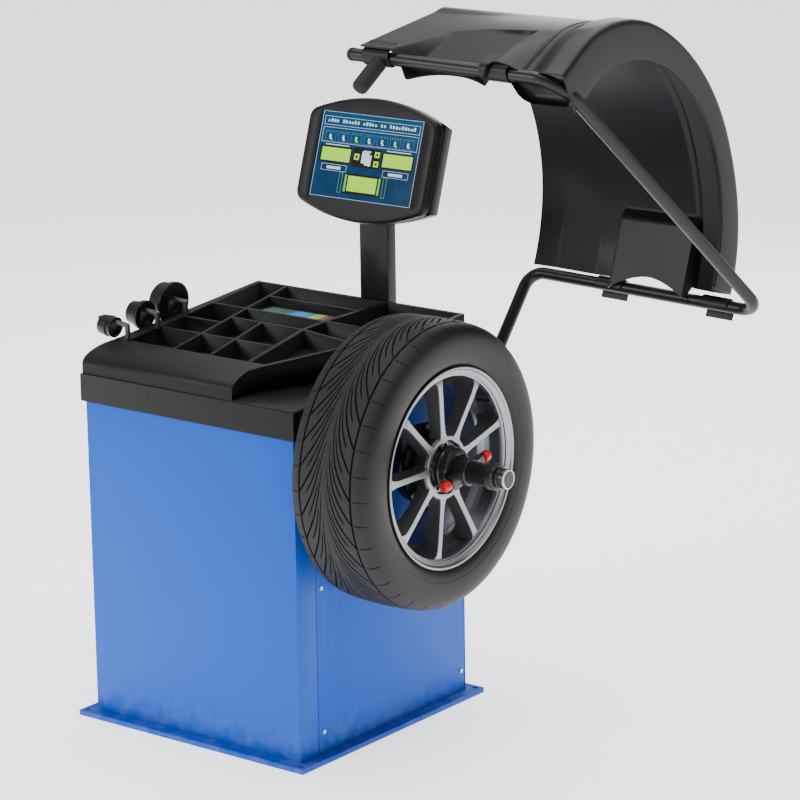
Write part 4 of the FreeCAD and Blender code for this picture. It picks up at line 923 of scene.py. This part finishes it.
def hood_radius(x, angle):
    """The outside radius of the hood's sheet at a place along X and an angle in degrees."""
    radius = 455 + 12 * math.exp(-((angle - 80) / 20) ** 2)
    if angle > 76:
        flat = FLAT_DISTANCE / math.cos(math.radians(angle) - FLAT_NORMAL)
        share = (1 - ease(x, 360, 720)) * ease(angle, 76, 84)
        radius += (flat - radius) * share
    rear = 1 - ease(angle, -20, 22)
    radius += rear * (22 * ramp(x, 395, 490) - 2)
    radius -= 27 * ease(angle, 97, 117) * ease(x, 690, 772)
    # pressed channel beside the ring
    for middle in CHANNELS:
        radius -= CHANNEL_DEEP * math.exp(-((x - middle) / CHANNEL_WIDE) ** 2)
    if angle > POCKET_TOP:
        floor = FRONT_FLOOR / math.cos(math.radians(angle - FRONT_FACING))
        left = 488 - 80 * ramp(angle, 98, 117)
        inner = 496 - 42 * ramp(angle, 98, 117)
        right = POCKET_RIGHT - 30 * ramp(angle, 99, 117)
        share = ramp(x, left, inner) * (1 - ramp(x, right - 6, right + 12))
        radius += min(0.0, floor - radius) * share
    if angle < -3:
        floor = REAR_FLOOR / math.cos(math.radians(angle - REAR_FACING))
        share = ramp(-angle, 3, 5.4) * ramp(x, 552, 559) * (1 - ramp(x, 755, 762))
        radius += min(0.0, floor - radius) * share
    return radius




def hood_end(x, front):
    """The angle where the sheet ends at a place along X: straight, or an arch between two points under a pocket."""
    if front:
        if 452 < x < 664:
            arch = abs(2 * (x - 452) / 212 - 1) ** 2.2
            return 116.4 + 3.6 * arch
        return SHEET_END + 3.5 * (ramp(x, 430, 452) if x < 500 else 1 - ramp(x, 664, 680))
    if 556 < x < 758:
        arch = abs(2 * (x - 556) / 202 - 1) ** 1.8
        return -21.8 - 4.8 * arch
    return -22.5


HOOD_LOW, HOOD_HIGH, ROW_ANGLE, END_ROWS = -20.0, 112.0, 0.6, 8
MIDDLE_ROWS = round((HOOD_HIGH - HOOD_LOW) / ROW_ANGLE)
HOOD_ROWS = MIDDLE_ROWS + 2 * END_ROWS + 1


def hood_angle(x, row):
    """The angle of a row of the sheet: the same all along X apart from the strips at both ends."""
    if row < END_ROWS:
        low = hood_end(x, False)
        return low + (HOOD_LOW - low) * row / END_ROWS
    if row > END_ROWS + MIDDLE_ROWS:
        return HOOD_HIGH + (hood_end(x, True) - HOOD_HIGH) * (row - END_ROWS - MIDDLE_ROWS) / END_ROWS
    return HOOD_LOW + (row - END_ROWS) * ROW_ANGLE


def make_hood():
    across = [334 + 2.95 * k for k in range(int((770 - 334) / 2.95) + 1)] + [774, 779, 785, 792, 800, 810, 820, 830]
    rings = []
    for row in range(HOOD_ROWS):
        ring = []
        for x in across:
            angle = hood_angle(x, row)
            radius = hood_radius(x, angle) + 11 * ease(x, 768, 800)
            ring.append((x, radius, angle))
        angle = hood_angle(850, row)
        top = hood_radius(835, angle) + 11
        edge = between(RING_EDGE, angle)
        for step in range(1, 6):
            turn = math.radians(90 * step / 5)
            ring.append((838 + 12 * math.sin(turn), top - 12 + 12 * math.cos(turn), angle))
        for share in (0.15, 0.35, 0.6, 0.85, 0.97, 1.0):
            ring.append((850 - 2 * share ** 4, top - 12 + (edge - top + 12) * share, angle))
        ring.append((845, edge - 1.5, angle))
        ring.append((841, edge - 1.0, angle))
        rings.append(ring)

    def place(x, radius, angle):
        turn = math.radians(angle)
        return (x, HOOD_Y + radius * math.cos(turn), HOOD_Z + radius * math.sin(turn))
    points, faces = skin([[place(*spot) for spot in ring] for ring in rings], closed_rings=False, caps=False)
    mesh = mesh_from("hood_sheet", points, faces)

    def thicken(item):
        wall = item.modifiers.new("wall", "SOLIDIFY")
        wall.thickness = 3.6 * MM
        wall.offset = -1
        wall.use_even_offset = False
    # the sheet's faces must look away from the hood's middle before it gets its thickness
    middle = Vector((600, HOOD_Y, HOOD_Z)) * MM
    sample = max(mesh.polygons, key=lambda face: face.center.z)
    if (sample.center - middle).dot(sample.normal) < 0:
        mesh.flip_normals()
    made = baked("hood_sheet", mesh, thicken)
    make_hood_lip()
    stand("hood_shell_moulded", made, "hood_plastic", "hood", ["hood_shell"], 32)


def make_hood_lip():
    """The turned-in flange behind the frame tube, from the channel to the ring."""
    section = [(-70, 1560), (-60, 1553), (-52, 1540), (-47, 1524), (-45, 1508), (-48, 1494), (-55, 1486), (-63, 1484)]
    rings = []
    for step in range(15):
        x = 700 + step * 10.3
        grown = 0.35 + 0.65 * ease(x, 696, 740)
        edge = hood_radius(x, SHEET_END) - 3
        top_y = HOOD_Y + edge * math.cos(math.radians(SHEET_END))
        top_z = HOOD_Z + edge * math.sin(math.radians(SHEET_END))
        outer = [(x, top_y + (y + 70) * (0.7 + 0.5 * grown), top_z + (z - 1560) * grown * 0.75) for y, z in section]
        inner = [(x, y + 3, z + 0.6) for x, y, z in reversed(outer)]
        rings.append(outer + inner)
    points, faces = skin(rings)
    stand("hood_lip_moulded", mesh_from("lip", points, faces), "hood_plastic", "hood", (), 50)


def smooth_tube(corners, bends, radius, sides=32):
    """Points and faces of a tube along straight runs with rounded corners."""
    path = [Vector(corners[0])]
    for k in range(1, len(corners) - 1):
        corner = Vector(corners[k])
        before = (Vector(corners[k - 1]) - corner).normalized()
        after = (Vector(corners[k + 1]) - corner).normalized()
        half = before.angle(after) / 2
        reach = bends[k - 1] / math.tan(half)
        start, end = corner + before * reach, corner + after * reach
        centre = corner + (before + after).normalized() * (bends[k - 1] / math.sin(half))
        for step in range(17):
            way = (start - centre).normalized().slerp((end - centre).normalized(), step / 16)
            path.append(centre + way * bends[k - 1])
    path.append(Vector(corners[-1]))
    rings = []
    side = (path[1] - path[0]).orthogonal().normalized()
    for k, spot in enumerate(path):
        if k == 0:
            along = path[1] - path[0]
        elif k == len(path) - 1:
            along = path[-1] - path[-2]
        else:
            along = (path[k + 1] - spot).normalized() + (spot - path[k - 1]).normalized()
        along.normalize()
        side = (side - along * side.dot(along)).normalized()
        other = along.cross(side)
        rings.append([spot + side * radius * math.cos(2 * math.pi * m / sides)
                      + other * radius * math.sin(2 * math.pi * m / sides) for m in range(sides)])
    return skin(rings)


FRAME_BENDS, FRAME_RADIUS = (80, 50, 40, 40), 14
FRAME = [(300, -74, 1538), (835, -74, 1528), (948, 530, 944), (326, 530, 961), (326, 377, 772), (190, 377, 772)]


def make_hood_frame():
    points, faces = smooth_tube(FRAME, FRAME_BENDS, FRAME_RADIUS)
    mesh = mesh_from("hood_frame", points, faces)
    stand("hood_frame_bent", mesh, "frame_steel", "hood", ["hood_frame"], 50)
    run = (Vector(FRAME[1]) - Vector(FRAME[0])).normalized()
    cap_profile = [(0, 14.6), (-3, 14.4), (-7, 12), (-9.5, 7), (-10, 0.01), (4, 0.01), (4, 14.6)]
    points, faces = lathe(cap_profile, (0, 0, 0), 40)
    turn = Vector((1, 0, 0)).rotation_difference(run).to_matrix()
    points = [Vector(FRAME[0]) + turn @ Vector(point) for point in points]
    stand("hood_end_cap_moulded", mesh_from("cap", points, faces), "grip_rubber", "hood", ["hood_end_cap"])

    clips = []
    for start, end, places, hood_side in ((0, 1, (0.138, 0.71), -1), (3, 2, (0.36, 0.81), 1)):
        a, b = Vector(FRAME[start]), Vector(FRAME[end])
        way = (b - a).normalized()
        for share in places:
            middle = a + (b - a) * share
            outward = Vector((0, middle.y - HOOD_Y, middle.z - HOOD_Z)).normalized()
            forward = way.cross(outward) * (1 if start == 0 else -1)
            if forward.y * hood_side < 0:
                forward = -forward
            rings = []
            for t, shrink in ((-35, 1.2), (-33.8, 0), (33.8, 0), (35, 1.2)):
                spot = middle + way * t
                line = [(-26, 23.5), (-14, 23), (-4, 22.2), (6, 21)]
                line += [(20 * math.sin(math.radians(a)) * (1 if a < 60 else 0.84), 20 * math.cos(math.radians(a)))
                         for a in (40, 60, 75)]
                line += [(16.6 * math.sin(math.radians(a)), 16.6 * math.cos(math.radians(a)))
                         for a in range(85, 206, 15)]
                sides = [[], []]
                for k, (along, out) in enumerate(line):
                    ahead = line[min(k + 1, len(line) - 1)]
                    behind = line[max(k - 1, 0)]
                    run = Vector((ahead[0] - behind[0], ahead[1] - behind[1])).normalized()
                    for side, reach in ((0, 1.6 - shrink), (1, -1.6 + shrink)):
                        sides[side].append(spot + forward * (along - run.y * reach) + outward * (out + run.x * reach))
                rings.append(sides[0] + sides[1][::-1])
            clips.append(skin(rings))
    points, faces = joined(clips)
    stand("hood_clips_moulded", mesh_from("clips", points, faces), "hood_plastic", "hood", ["hood_clips"], 40)
    painted("dark_steel", "hood_screws")

    start = Vector(FRAME[0]) + (Vector(FRAME[1]) - Vector(FRAME[0])) * (81 / 535)
    way = Vector((0, -72, -47)).normalized()
    profile = [(10, 0.01), (10, 15), (15, 17.2)]
    for step in range(11):
        along = 20 + step * 6.4
        profile += [(along, 18), (along + 3.6, 18), (along + 4.2, 16.9), (along + 5.8, 16.9)]
    profile += [(92, 18), (97, 16.4), (100.5, 11), (101.5, 0.01)]
    points, faces = lathe(rounded(profile, 0.5, 2), (0, 0, 0), 48)
    turn = Vector((1, 0, 0)).rotation_difference(way).to_matrix()
    points = [start + turn @ Vector(point) for point in points]
    stand("hood_grip_ribbed", mesh_from("grip", points, faces), "grip_rubber", "hood", ["hood_grip"])
    softened("hood_bracket", 1.2, "frame_steel", steps=2)


# ---------------------------------------------------------------- cones and gauge

def make_cones():
    for name in ("small_cone", "medium_cone", "large_cone"):
        softened(name, 1.4, "cone_black")
    painted("dark_steel", "cone_pegs")


def make_gauge():
    for name in ("gauge_arm", "gauge_guide"):
        softened(name, 0.8, "tray_plastic" if name == "gauge_arm" else "dark_steel", 2)
    painted("bare_steel", "gauge_rod")


FINISHES = make_finishes()
REPEAT = repeat_tree()
make_camera()
make_studio()
make_cabinet()
make_tray()
make_tyre()
make_rim()
make_spindle()
make_quick_nut()
make_monitor()
make_hood()
make_hood_frame()
make_cones()
make_gauge()
